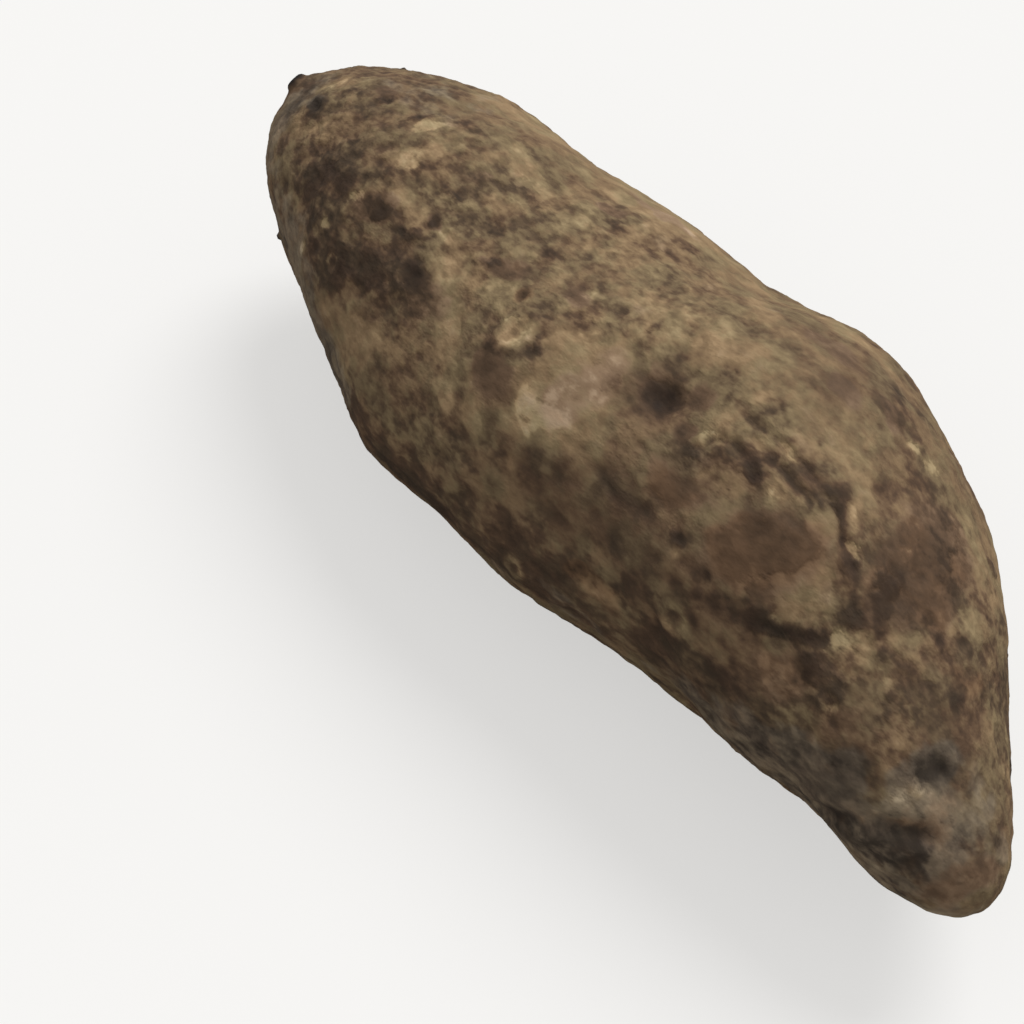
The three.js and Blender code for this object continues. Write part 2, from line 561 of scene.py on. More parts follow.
MARKS: tuple[Mark, ...] = (
    # Wide, faint differences between one part of the skin and another, with painted shade along the lower
    # flank and a painted highlight along the far upper outline among them.
    *several(
        Kind.SPECKLED,
        (0.14, 100, 46, 60, 0.5), (0.3, 135, 50, 30, 0.6, -20), (0.36, 104, 90, 52),
        (0.42, 152, 48, 26, 0.7), (0.45, 72, 50, 22, 0.8), (0.5, 92, 66, 34, 0.9), (0.67, 108, 40, 24, 0.7),
        (0.86, 105, 34, 60, 0.5), (0.95, 165, 26, 40, 0.8),
    ),
    # The corky marks at 0.3, 184, 0.55, 178 and 0.6, 186 are painted shade on the lower flank.
    *several(
        Kind.CORKY,
        (0.16, 92, 90, 60, 0.15), (0.3, 184, 60, 22, 0.3), (0.55, 178, 190, 26, 0.35),
        (0.6, 186, 70, 14, 0.5), (0.88, 90, 70, 60, 0.2),
    ),
    # Those at 0.375, 187 and 0.725, 186 are painted shade on the lower flank.
    *several(
        Kind.SHADED,
        (0.025, 112, 14, 16, 0.6), (0.025, 122, 12, 14, 0.5), (0.03, 116, 16, 24, 0.5),
        (0.03, 125, 12, 14, 0.5), (0.04, 110, 20, 16, 0.5), (0.05, 112, 22, 18, 0.6),
        (0.075, 70, 18, 26, 0.4), (0.075, 82, 12, 12, 0.4), (0.12, 145, 18, 16, 0.5),
        (0.125, 82, 16, 14, 0.6), (0.175, 67, 18, 14, 0.4), (0.175, 105, 18, 30, 0.4),
        (0.185, 142, 14, 8, 0.3), (0.2, 140, 34, 16, 0.6, -10), (0.225, 70, 12, 10, 0.3),
        (0.225, 115, 14, 26, 0.25), (0.225, 143, 12, 10, 0.5), (0.225, 143, 14, 12, 0.5),
        (0.275, 80, 12, 10, 0.35), (0.275, 127, 16, 14, 0.4), (0.275, 157, 16, 14, 0.4),
        (0.31, 92, 12, 10, 0.3), (0.32, 126, 20, 14, 0.6, -20), (0.325, 50, 16, 10, 0.5),
        (0.325, 77, 12, 8, 0.4), (0.325, 87, 14, 7, 0.5), (0.325, 142, 18, 16, 0.6),
        (0.3375, 128.5, 14, 9, 0.5), (0.375, 98, 18, 14, 0.8), (0.375, 157, 18, 14, 0.8),
        (0.375, 187, 22, 12, 0.6), (0.425, 127, 12, 12, 0.4), (0.475, 97, 18, 14, 0.5),
        (0.6, 148, 40, 10, 0.5), (0.61, 158, 26, 9, 0.6), (0.65, 157, 56, 12, 0.75),
        (0.675, 72, 18, 20, 0.4), (0.675, 82, 12, 10, 0.4), (0.675, 88, 12, 18, 0.35),
        (0.675, 115, 12, 8, 0.3), (0.675, 127, 12, 8, 0.4), (0.72, 170, 16, 12, 0.3),
        (0.725, 186, 20, 12, 0.5), (0.775, 67, 12, 10, 0.5), (0.775, 158, 18, 14, 0.6),
        (0.775, 172, 18, 14, 0.9), (0.79, 142, 30, 12, 0.4, -20), (0.825, 78, 20, 24, 0.6),
        (0.825, 98, 16, 16, 0.5), (0.825, 108, 14, 9, 0.4), (0.825, 113, 12, 8, 0.4),
        (0.83, 136, 12, 10, 0.5), (0.875, 126, 14, 14, 0.5), (0.875, 140, 16, 16, 0.5),
        (0.9, 82, 24, 16, 0.5), (0.9, 104, 24, 14, 0.5), (0.925, 98, 18, 14), (0.975, 125, 14, 16, 0.5),
    ),
    # Painted shade in the tail's notch.
    *several(Kind.GRIMY_AND_SHADED, (0.895, 157, 8, 8, 0.5, -20)),
    # The bare marks near 50 around are a painted highlight along the far upper outline.
    *several(
        Kind.BARE,
        (0.03, 140, 14, 16, 0.5), (0.06, 144, 18, 10, 0.5), (0.075, 98, 14, 10, 0.3),
        (0.1, 143, 16, 10, 0.4), (0.125, 165, 14, 12, 0.5), (0.175, 172, 20, 12, 0.7),
        (0.225, 50, 30, 10, 0.6), (0.275, 142, 12, 8, 0.35), (0.28, 110, 14, 10, 0.4),
        (0.3, 50, 60, 10, 0.4), (0.3, 177, 22, 10, 0.3), (0.315, 167, 20, 14, 0.4),
        (0.322, 160, 14, 10, 0.6), (0.325, 160, 14, 12, 0.7), (0.35, 174, 20, 10, 0.3),
        (0.39, 50, 20, 8, 0.4), (0.41, 50, 90, 13), (0.42, 52, 100, 10, 0.6), (0.43, 140, 18, 14, 0.3),
        (0.43, 172, 20, 12, 0.4), (0.475, 50, 24, 9, 0.7), (0.475, 127, 8, 6, 0.3), (0.48, 52, 14, 8, 0.7),
        (0.525, 142, 10, 7, 0.4), (0.527, 114, 10, 8, 0.4), (0.53, 118, 14, 14, 0.4),
        (0.57, 98, 34, 12, 0.35), (0.625, 80, 20, 20, 0.3), (0.625, 187, 16, 10, 0.4),
        (0.63, 50, 24, 9, 0.7), (0.63, 52, 40, 10, 0.6), (0.82, 52, 30, 10, 0.5), (0.832, 124.5, 10, 7, 0.8),
        (0.835, 62, 18, 12, 0.6),
    ),
    # These flakes near 50 around paint the same highlight along the far upper outline.
    *several(
        Kind.FLAKE,
        (0.23, 48, 34, 12, 0.2), (0.42, 50, 50, 8, 0.3), (0.47, 54, 12, 6, 0.3), (0.625, 52, 16, 8, 0.3),
    ),
    *several(
        Kind.DUSTY,
        (0.04, 150, 20, 60, 0.5), (0.14, 168, 60, 24, 0.6), (0.15, 70, 50, 30, 0.4),
        (0.26, 182, 50, 18, 0.9), (0.66, 194, 90, 14, 0.35), (0.85, 186, 60, 26, 0.9),
        (0.95, 175, 30, 36, 0.7),
    ),
    # The crown: its end with the small eye, its dark cheek and its slope.
    *several(
        Kind.CORKY,
        (0.172, 105.7, 12, 7, 0.5, -45), (0.184, 119, 13, 9, 0.5, -45), (0.195, 136, 34, 20, 0.7, -14),
        (0.235, 150, 22, 18, 0.6, -20), (0.237, 116, 12, 7, 0.35, -45), (0.255, 154, 16, 8, 0.6, -20),
        (0.29, 141, 26, 12, 0.8, -30), (0.31, 92, 8, 4.5, 0.4, -45), (0.314, 120, 7, 5, 0.6, -45),
        (0.325, 134, 18, 9, 0.8, -30),
    ),
    # The crust at 0.2115, 91.7 is a painted shadow beside the pale flake, over a shallow pit.
    *several(
        Kind.CRUST,
        (0.092, 143, 6, 5, 0.4), (0.0985, 115.3, 5.5, 5.5), (0.1015, 115, 8, 8, 0.5),
        (0.1641, 94.2, 5, 2.2, 0.9, -20), (0.178, 135, 11, 13), (0.2115, 91.7, 5, 3.4, 0.8, -60),
        (0.2223, 127, 8, 5.5, 0.9, -30), (0.2723, 123.2, 5.5, 4.2, 0.8), (0.3145, 101.3, 5.2, 3.4, 1, 20),
        (0.3215, 113.3, 5, 3.6, 0.7), (0.341, 128, 12, 9, 1, -20),
    ),
    # The shaded marks on the cheek, around 133 to 147, are its darker skin and painted shade together.
    *several(
        Kind.SHADED,
        (0.045, 112, 20, 26, 0.5), (0.0975, 115, 8, 9), (0.0985, 115.3, 6, 6, 0.8),
        (0.148, 91.3, 8, 5, 0.4, -20), (0.15, 168, 34, 16, 0.5), (0.195, 133, 22, 15, 0.6, -20),
        (0.228, 97.5, 10, 3, 0.7, -62), (0.235, 147, 18, 10, 0.5, -20), (0.236, 138, 10, 6, 0.7),
        (0.29, 139, 20, 9, 0.4, -30), (0.332, 138, 12, 8, 0.5, -30),
    ),
    *several(
        Kind.BROWN,
        (0.088, 141, 8, 6, 0.7), (0.148, 91.3, 8, 5, 0.9, -20), (0.256, 128, 9, 6, 0.7),
        (0.272, 123.2, 7, 6, 0.9), (0.31, 92, 10, 6, 0.6, -45), (0.3215, 113.3, 6, 5, 0.8),
        (0.366, 131, 20, 9, 0.7),
    ),
    *several(
        Kind.BARE,
        (0.03, 138, 14, 36, 0.45), (0.105, 132, 16, 7, 0.8, -50), (0.155, 152, 22, 8, 0.5, -25),
        (0.2, 72, 36, 22, 0.25), (0.23, 55, 34, 18, 0.6), (0.253, 101.5, 16, 6.5, 1, -73),
        (0.275, 162, 20, 9, 0.35, -30), (0.288, 151.8, 12, 8, 0.5, -30), (0.295, 117, 8, 12, 0.5, 30),
        (0.325, 80, 24, 7.5, 1, 4),
    ),
    *several(
        Kind.GOLD,
        (0.2177, 148.3, 5.4, 3.6, 1, 42), (0.2755, 115.8, 5.5, 9.5, 0.9, 20), (0.315, 79.8, 22, 6, 1, 4),
    ),
    *several(
        Kind.PINK,
        (0.082, 98.5, 12, 5, 1, -60), (0.119, 123, 10, 4.5, 0.8, -35), (0.2525, 104, 13, 8, 1, -72),
        (0.2545, 97.5, 10, 5, 0.9, -75), (0.3365, 114.4, 6.5, 4.6, 0.9),
    ),
    *several(
        Kind.FLAKE,
        (0.084, 98.5, 8, 3.2, 0.6, -60), (0.199, 160, 3.4, 3.6, 0.7), (0.2232, 142.7, 4.4, 3, 0.7, 42),
        (0.2255, 94, 5, 3.6, 1, -45), (0.23, 91.4, 7, 4, 1, -62), (0.232, 93.2, 4, 3, 0.8, -62),
        (0.2375, 128.6, 4.6, 6.5, 0.7), (0.2545, 108.2, 5.5, 3.4, 0.9, -60), (0.342, 82.4, 8, 4.6, 0.35),
    ),
    *several(Kind.DUSTY, (0.09, 114, 8, 8, 0.7)),
    # The middle, thickly speckled.
    *several(Kind.CORKY, (0.385, 111, 8, 4, 0.6, -40)),
    *several(
        Kind.CRUST,
        (0.4186, 95.9, 3.4, 2.8, 0.8), (0.4405, 110.8, 4.2, 3, 0.6), (0.4732, 69.6, 4.6, 2.4, 0.8),
        (0.4732, 102.3, 5.5, 4, 0.5, -20), (0.5168, 104, 3.2, 1.8, 0.5), (0.5468, 98.4, 3, 1.8, 0.8, -20),
    ),
    *several(Kind.SHADED, (0.403, 70.5, 9, 4.5, 0.7), (0.403, 108.5, 15, 5.5, 0.6, -15)),
    *several(
        Kind.BROWN,
        (0.403, 70.5, 10, 5), (0.403, 108.5, 16, 6, 0.9, -15), (0.425, 55, 26, 5, 0.8),
        (0.4732, 102.3, 8, 6, 0.8, -20),
    ),
    *several(Kind.RUSTY, (0.4405, 110.8, 6, 4.5, 0.7)),
    *several(
        Kind.BARE,
        (0.385, 124, 14, 9, 0.5, 30), (0.405, 61.5, 36, 7, 1, -2), (0.45, 93, 40, 20, 0.2),
        (0.55, 88, 60, 14, 0.5, 4), (0.56, 95, 14, 5, 0.6, -10), (0.565, 66, 32, 7, 0.7, 48),
        (0.61, 94, 34, 20, 0.5),
    ),
    *several(
        Kind.GOLD,
        (0.3677, 74.2, 4.4, 4.4, 0.9), (0.371, 118, 14, 10, 0.7, 30), (0.4014, 80.8, 6.4, 6),
        (0.4165, 113, 8, 5.6, 0.8, -30),
    ),
    *several(Kind.PINK, (0.4, 62, 28, 4.5, 0.25, -2)),
    *several(Kind.FLAKE, (0.4805, 99.3, 4.6, 3, 0.5, -40), (0.515, 108, 9, 2.2, 0.35, -60)),
    # The ring scar, the smooth brown patch beside it and the large bare patch.
    # The corky mark at 0.43, 180 is painted shade on the lower flank.
    *several(Kind.CORKY, (0.36, 141, 12, 14, 0.5), (0.43, 180, 50, 20, 0.6), (0.505, 158, 18, 10, 0.5)),
    *several(
        Kind.CRUST,
        (0.4545, 118.4, 5, 3.2, 1, -45), (0.455, 127.5, 4, 9, 0.5, -40), (0.489, 119.5, 5, 3, 0.5, 30),
        (0.5186, 147.5, 5, 5, 0.35), (0.544, 145.5, 9, 4, 0.35),
    ),
    # The shaded mark at 0.45, 190 is a painted shadow on the lower flank.
    *several(
        Kind.SHADED,
        (0.417, 151.8, 16, 12, 0.5), (0.45, 190, 38, 14), (0.4541, 118.4, 3.4, 3.4),
        (0.455, 143, 12, 4, 0.5, 42), (0.464, 132, 14, 11, 0.8, 25), (0.466, 132, 12, 9, 0.4, 25),
        (0.477, 125, 9, 2.6, 0.7, -45), (0.498, 144, 14, 5, 0.5, 42), (0.5814, 127.5, 16, 3, 0.6, -40),
    ),
    *several(
        Kind.BROWN,
        (0.466, 132, 14, 11, 1, 25), (0.541, 126, 18, 14, 0.85, -50), (0.546, 113.5, 14, 9, 0.5, -60),
    ),
    *several(Kind.RUSTY, (0.519, 147, 8, 6, 0.5), (0.5314, 151.5, 6, 6, 0.7)),
    *several(
        Kind.BARE,
        (0.325, 160, 26, 10, 0.8, -50), (0.4186, 136.2, 26, 7, 1, 42), (0.44, 152, 8, 5, 0.5, 42),
        (0.478, 147.2, 15, 4.6, 1, 42), (0.495, 116, 10, 5, 0.5, -60), (0.53, 140, 16, 8, 0.6),
        (0.5314, 151.5, 6, 5, 0.9), (0.535, 132, 22, 14, 0.7), (0.537, 126, 20, 20),
        (0.543, 112, 9, 17, 0.9), (0.545, 112.5, 11, 12),
    ),
    *several(Kind.PINK, (0.4477, 166, 12, 6, 0.4, 42)),
    *several(
        Kind.FLAKE,
        (0.4695, 122, 5, 4.6, 0.35), (0.471, 123, 6, 2, 0.35, -45), (0.516, 134, 6, 3, 0.6, 50),
        (0.532, 139, 5, 2.6, 0.5, 30), (0.537, 135.5, 9, 4, 0.8, -30), (0.541, 128.5, 17, 13, 0.62, -50),
        (0.545, 114, 12, 8, 0.3, -60), (0.5823, 121.6, 7, 2.4, 0.4, -45),
    ),
    *several(
        Kind.ASH,
        (0.5125, 133.2, 13, 6.5, 1, 50), (0.515, 133.5, 9, 5.5, 0.6, 20), (0.5275, 139, 10, 4.6, 1, 38),
    ),
    # The big eye, dark with a brown rim, and the skin beside and below it.
    *several(Kind.CORKY, (0.667, 119.4, 22, 6, 0.35, -20)),
    *several(
        Kind.CRUST,
        (0.5985, 113.6, 9, 8), (0.6414, 104, 2.8, 2.2, 0.7), (0.6732, 98.9, 3.4, 2.4, 0.8),
        (0.7014, 114.2, 6, 4), (0.7023, 106.7, 5, 3.6, 0.7), (0.7525, 100, 8, 8, 0.8),
        (0.7686, 102.6, 8, 2.4, 0.6, 10), (0.7786, 105.2, 5, 3, 0.6, 10), (0.7977, 107.1, 5.5, 4, 0.9, 30),
    ),
    *several(
        Kind.SHADED,
        (0.585, 112, 18, 14, 0.5, -20), (0.5985, 113.6, 8, 7, 0.8), (0.624, 107.5, 5, 7, 0.5),
        (0.6368, 117.9, 6, 5, 0.4), (0.667, 119.4, 22, 6, 0.7, -20), (0.702, 113, 9, 8, 0.4, -30),
        (0.733, 105.5, 8, 5, 0.5),
    ),
    *several(
        Kind.BROWN,
        (0.59, 112, 22, 17, 0.4, -20), (0.624, 107.5, 6, 8, 0.8), (0.6368, 117.9, 7, 6, 0.9),
    ),
    *several(Kind.BARE, (0.695, 106, 10, 2.4, 0.8, -5), (0.72, 90, 22, 14, 0.6), (0.75, 90, 14, 10, 0.5)),
    *several(Kind.GOLD, (0.673, 123.4, 4.4, 3.2, 0.6, -30)),
    *several(Kind.PINK, (0.6505, 115.6, 7.5, 4.4, 1, -60)),
    *several(
        Kind.FLAKE,
        (0.652, 114.9, 4, 2.2, 0.5, -60), (0.703, 102.3, 16, 1.8, 0.5, 4),
        (0.7262, 113.4, 6.5, 2.4, 0.65, -35), (0.7741, 99.5, 7, 3.4, 0.7), (0.7905, 103, 7, 3.2, 0.8, 10),
    ),
    # The brown lobe, smooth, with a khaki rim all round it.
    *several(
        Kind.SHADED,
        (0.662, 135.5, 14, 7, 0.9, -20), (0.668, 129.5, 18, 8, 0.9, -10), (0.728, 132, 14, 9, 0.6, -10),
        (0.74, 123, 20, 11, 0.9, -40), (0.742, 127, 22, 18, 0.6), (0.753, 122, 24, 13, 0.6, -42),
        (0.768, 119, 9, 10, 0.5), (0.768, 137.5, 12, 4, 0.7, -40),
    ),
    *several(
        Kind.MAUVE,
        (0.662, 131.5, 20, 7, 0.9, -10), (0.745, 132, 18, 8, 0.6, -42), (0.747, 125, 29, 18, 1, -42),
    ),
    *several(
        Kind.RUSTY,
        (0.662, 134.5, 14, 7, 0.5, -20), (0.727, 132.5, 12, 7, 0.4), (0.747, 124, 26, 15, 0.5, -42),
    ),
    *several(
        Kind.BARE,
        (0.7, 124.5, 13, 9, 0.8), (0.7625, 106.5, 12, 5, 0.8, 15), (0.777, 129, 16, 6, 0.8, -42),
        (0.788, 121.5, 6.5, 12, 0.9, -10),
    ),
    *several(Kind.GOLD, (0.784, 114.5, 5, 9, 0.5), (0.7865, 130, 15, 5, 0.7, -42)),
    *several(Kind.PINK, (0.757, 131, 12, 5, 0.25, -42)),
    # The dark flank under the patch and the lobe.
    *several(
        Kind.CORKY,
        (0.575, 176, 40, 14, 0.5), (0.7186, 148.8, 10, 5, 0.5), (0.72, 175, 34, 20, 0.4),
        (0.7686, 137.2, 9, 7, 0.6),
    ),
    *several(
        Kind.CRUST,
        (0.6795, 165.5, 14, 6, 0.6, 42), (0.6886, 140.6, 4.4, 3.4, 0.9), (0.7232, 142.2, 5, 3, 0.8, -30),
        (0.7623, 143.5, 18, 5, 0.55, -25), (0.79, 138.5, 14, 4, 0.9, -40), (0.8123, 129.7, 10, 4, 0.8, -50),
    ),
    *several(
        Kind.SHADED,
        (0.578, 152, 26, 14, 0.6), (0.6, 149, 22, 10, 0.35), (0.6223, 172, 14, 6, 0.6),
        (0.632, 148, 26, 14, 0.9, 10), (0.65, 146, 18, 14, 0.4), (0.664, 151, 12, 12, 0.5),
        (0.7, 147, 22, 9, 0.3, -10), (0.7686, 137.2, 8, 6, 0.5),
    ),
    *several(Kind.RUSTY, (0.6223, 170.5, 14, 6), (0.6514, 172.5, 12, 10, 0.4, 30)),
    *several(
        Kind.BARE,
        (0.5705, 137, 16, 7, 0.6, -10), (0.595, 141, 9, 7, 0.8, -20), (0.634, 161.5, 14, 4, 0.6, 10),
        (0.655, 177, 14, 12, 0.8), (0.6977, 157.1, 8, 8, 0.6), (0.7195, 161, 9, 9, 0.5),
        (0.756, 160.5, 14, 7, 0.35),
    ),
    *several(Kind.PINK, (0.6514, 172.5, 10, 9, 0.5, 30)),
    *several(Kind.FLAKE, (0.6955, 144, 3.6, 3, 0.35)),
    # The tail: its shaded notch, its pale ridge and its dark lobe.
    *several(
        Kind.CORKY,
        (0.8195, 99, 9, 14, 0.5), (0.8223, 112.3, 11, 11, 0.7), (0.831, 135.5, 11, 9, 0.8),
        (0.945, 165, 18, 20, 0.4),
    ),
    *several(
        Kind.CRUST,
        (0.8285, 134, 12, 11), (0.8423, 144.5, 9, 3.4, 0.7, 42), (0.8523, 112.3, 4.6, 4, 0.6),
        (0.8686, 87.4, 5, 4.6, 0.8), (0.8732, 104.2, 4.6, 4, 0.5), (0.9041, 89.6, 4.4, 8, 0.8),
    ),
    *several(
        Kind.SHADED,
        (0.807, 101, 9, 9, 0.5), (0.8195, 99, 9, 14, 0.4), (0.82, 88.9, 22, 26),
        (0.8223, 112.3, 10, 10, 0.5), (0.83, 76, 14, 12, 0.5), (0.8532, 83.7, 7, 9, 0.4, -45),
        (0.875, 142, 14, 9, 0.5), (0.9, 152, 7, 14, 0.5, 20), (0.915, 143, 5, 10, 0.6, 20),
        (0.922, 118, 9, 14, 0.5), (0.925, 108, 10, 14, 0.6), (0.93, 103, 10, 14, 0.4),
        (0.975, 118, 13, 24, 0.6), (0.975, 126, 12, 14, 0.5), (0.985, 133, 7, 14, 0.5),
    ),
    # Those at 0.868, 167, 0.877, 157 and 0.8835, 147.4 paint shade into the notch.
    *several(
        Kind.GRIMY_AND_SHADED,
        (0.868, 167, 28, 15, 0.6, -10), (0.877, 157, 15, 10, 0.9), (0.8835, 147.4, 7, 8, 0.8),
        (0.9225, 120, 5, 8, 0.6, 20), (0.9245, 111.5, 6, 10, 0.9, 10), (0.933, 162, 9, 16, 0.7, 10),
        (0.949, 151, 9, 17, 0.8, 10), (0.957, 164, 11, 17, 0.85), (0.9655, 141.5, 6, 8, 0.9, 10),
        (0.976, 168, 8, 10, 0.3),
    ),
    *several(Kind.BROWN, (0.985, 133, 8, 16, 0.8)),
    *several(
        Kind.MAUVE,
        (0.8077, 149.6, 14, 12, 0.8), (0.828, 88.9, 22, 24, 0.9), (0.8768, 131.3, 14, 20, 0.35),
        (0.944, 131, 14, 16, 0.4, 20), (0.957, 104, 8, 16, 0.25),
    ),
    *several(
        Kind.RUSTY,
        (0.835, 122.8, 8, 8, 0.35), (0.8532, 83.7, 8, 10, 0.7, -45), (0.895, 77.7, 6, 9, 0.7),
    ),
    # The bare marks at 0.872, 189, 0.93, 186, 0.95, 188 and 0.98, 172 are painted highlight on the notch's
    # edge and the lower outline.
    *several(
        Kind.BARE,
        (0.8205, 154.2, 9, 6, 0.7), (0.8345, 122.3, 10, 10), (0.853, 104, 6, 12, 0.4),
        (0.8605, 95.7, 5, 7, 0.8), (0.8659, 72.5, 7, 12, 0.8), (0.872, 130, 12, 16, 0.4),
        (0.872, 189, 4, 15, 0.6, 8), (0.8977, 114.5, 8, 22, 0.3, 20), (0.93, 186, 16, 10, 0.6, 10),
        (0.944, 131, 14, 16, 0.3, 20), (0.95, 188, 26, 14, 0.6), (0.969, 129, 7, 11, 0.3),
        (0.9732, 128, 8, 16, 0.5), (0.98, 172, 14, 22, 0.6),
    ),
    *several(Kind.GOLD, (0.8677, 117.6, 3, 3.6)),
    *several(
        Kind.PINK,
        (0.8, 146, 12, 10, 0.3), (0.8477, 139.6, 3.6, 3.6, 0.5), (0.9095, 159, 6.5, 17, 0.95, 16),
        (0.914, 146, 7, 10, 0.3, 10),
    ),
    *several(
        Kind.FLAKE,
        (0.8214, 124.4, 3.2, 2.6, 0.6), (0.831, 125.5, 8, 7, 0.65), (0.8345, 122, 7.5, 7, 0.6),
    ),
    *several(
        Kind.ASH,
        (0.8105, 85.7, 3, 4, 0.35), (0.8423, 79.1, 3, 5, 0.35), (0.8623, 113.7, 5, 5, 0.4),
        (0.8977, 114.5, 6, 20, 0.3, 20), (0.9255, 130, 5.2, 6.2), (0.931, 127, 4, 5, 0.5),
    ),
    *several(
        Kind.DUN,
        (0.903, 165, 5.5, 14, 0.9, 10), (0.9165, 149.5, 7, 9, 1, 20), (0.934, 137, 9, 14, 0.9, 20),
        (0.95, 126, 8, 12, 0.9, 20), (0.958, 108, 9, 22, 0.7), (0.966, 119, 7, 10, 0.3),
    ),
    *several(Kind.DUSTY, (0.85, 172, 30, 16, 0.8), (0.9186, 126, 6, 10, 0.7), (0.9255, 111, 9, 18)),
    # The far shoulder.
    *several(Kind.CORKY, (0.7, 67, 30, 16, 0.35), (0.79, 70, 30, 18, 0.4)),
    *several(
        Kind.BROWN,
        (0.645, 66, 18, 8, 0.7, 10), (0.687, 77, 14, 6, 0.8, 6), (0.723, 68.6, 14, 5, 0.7, 10),
    ),
    *several(Kind.MAUVE, (0.815, 71, 22, 18, 0.8)),
    *several(Kind.FLAKE, (0.748, 65, 4, 4, 0.8), (0.767, 60, 5, 4, 0.7)),
)


@dataclass(frozen=True)
class Round:
    """Something round that grew on the skin.

    Args:
        along: Its middle, as a share of the way from crown to tail.
        around: Its middle, in degrees.
        radius: Out to its rim, across the tuber.
        height: How far it stands out, or goes in.
        stretch: Its length over its width.
    """

    FRAY = 0.0  # how much of the skin's raggedness its outline takes

    along: float
    around: float
    radius: float
    height: float
    stretch: float = 1

    def relief(self, away: Array) -> Array:
        """How far it moves the skin, at distances from its middle in radii."""
        raise NotImplementedError

    def shade(self, away: Array) -> Array:
        """How dark it makes the skin there, from 0 to 1."""
        raise NotImplementedError

    def glow(self, away: Array) -> Array:
        """How pale it makes the skin there, from 0 to 1."""
        return np.zeros(len(away))


class Pit(Round):
    """A bud pit: a round hollow with a low swollen rim."""

    FRAY = 0.25
    RIM_AT = 1.25  # in radii
    RIM_SPREAD = 0.28
    RIM_HEIGHT = 0.16  # over the pit's depth
    FALL = 1.4
    SHADE_FALL = 1.1

    def relief(self, away: Array) -> Array:
        """The hollow, -height exp(-fall away^2), and a bell curve over its rim."""
        rim = self.RIM_HEIGHT * bell(away - self.RIM_AT, self.RIM_SPREAD)
        return self.height * (rim - np.exp(-self.FALL * away**2))

    def shade(self, away: Array) -> Array:
        """Painted shade and soil: a dark that grows with its depth, and fades as exp(-shade fall away^2)."""
        return min(1, 0.35 + 0.4 * self.height) * np.exp(-self.SHADE_FALL * away**2)


class RingScar(Round):
    """The scar of a root or a side shoot: a raised pale ring around a small dimple."""

    FRAY = 0.2
    CREST_AT = 0.8  # where its ring is highest, in radii
    GLOW_AT = 0.65  # where the ring is palest
    OUTLINE_AT = 1.3  # where the skin is dark around it
    DIMPLE_DEPTH = 0.8  # over the ring's height
    PALENESS = 0.55  # how pale its flakes are, over how bare the ring is

    def relief(self, away: Array) -> Array:
        """A bell curve over the ring, less one over the dimple in the middle."""
        return self.height * (bell(away - self.CREST_AT, 0.22) - self.DIMPLE_DEPTH * bell(away, 0.3))

    def shade(self, away: Array) -> Array:
        """The dark dimple, painted shade with soil in it, and a fainter dark line around the ring."""
        return 0.4 * bell(away, 0.2) + 0.3 * bell(away - self.OUTLINE_AT, 0.15)

    def glow(self, away: Array) -> Array:
        """The pale ring, just inside its crest."""
        return 0.8 * bell(away - self.GLOW_AT, 0.28)


class Stub(Round):
    """The dark, blunt remnant of the shoot or of a root."""

    FRAY = 0.3
    EDGE = (1.2, 0.6)  # where it begins to rise and where it is full, in radii

    def relief(self, away: Array) -> Array:
        """A steep knob."""
        return self.height * self.shade(away)

    def shade(self, away: Array) -> Array:
        """A smooth rise over its edge."""
        return smooth(*self.EDGE, away)


@dataclass(frozen=True)
class Furrow:
    """A crease of the skin.

    Args:
        line: The places that it runs through, each an along and an around.
        width: The spread of its section, a bell curve.
        depth: At its middle.
        lip: The height of the swelling beside it.
    """

    FRAY = 0.5
    LIP_AT = 2.6  # the lip's distance over the width
    FADE = 0.15  # the part of its length that an end fades over

    line: tuple[tuple[float, float], ...]
    width: float
    depth: float
    lip: float = 0


PITS = (
    Pit(0.5985, 113.6, 4.5, 2.0, 1.1),
    Pit(0.0985, 115.3, 2.3, 1.2, 1.2),
    Pit(0.1641, 94.2, 1.2, 0.8, 1.8),
    Pit(0.3145, 101.3, 1.7, 0.7, 1.5),
    Pit(0.2723, 123.2, 2.0, 0.7, 1.2),
    Pit(0.341, 127.6, 3.4, 1.0, 1.3),
    Pit(0.6886, 140.6, 1.6, 0.8, 1.1),
    Pit(0.7232, 142.2, 1.2, 0.5, 1.2),
    Pit(0.7014, 114.2, 1.8, 0.8, 1.4),
    Pit(0.7977, 107.1, 1.6, 0.7, 1.4),
    Pit(0.7495, 101.4, 2.8, 0.6, 1.3),
    Pit(0.7786, 105.2, 1.2, 0.5, 1.6),
    Pit(0.4732, 69.6, 1.1, 0.5, 2.0),
    Pit(0.505, 53, 1.6, 0.6, 1.0),
    Pit(0.3215, 113.3, 1.5, 0.6, 1.2),
    Pit(0.6414, 104.0, 1.1, 0.4, 1.3),
    Pit(0.6732, 98.9, 1.1, 0.5, 1.5),
    Pit(0.7023, 106.7, 1.4, 0.5, 1.3),
    Pit(0.4405, 110.8, 1.4, 0.5, 1.2),
    # This pit carries the painted shadow beside the pale flake.
    Pit(0.2115, 91.7, 1.4, 0.5, 1.0),
    Pit(0.4186, 95.9, 1.1, 0.4, 1.2),
    Pit(0.8523, 112.3, 1.5, 0.4, 1.0),
    Pit(0.8686, 87.4, 1.8, 0.5, 1.0),
    Pit(0.9041, 89.6, 1.6, 0.5, 1.0),
    Pit(0.9255, 111.0, 2.6, 0.7, 1.0),
)
STUBS = (
    Stub(0.0200, 103.5, 2.7, 1.1),
    Stub(0.088, 54, 0.9, 0.5),
    Stub(0.124, 184, 1.0, 0.9),
)
RING_SCARS = (
    RingScar(0.465, 120.3, 4.7, 0.55),
    RingScar(0.7195, 161, 4.1, 0.4),
    RingScar(0.8477, 139.6, 2.0, 0.25),
    RingScar(0.20, 45, 3.2, 0.4),
    RingScar(0.255, 149, 2.6, 0.3),
    RingScar(0.56, 186, 3.2, 0.35),
)
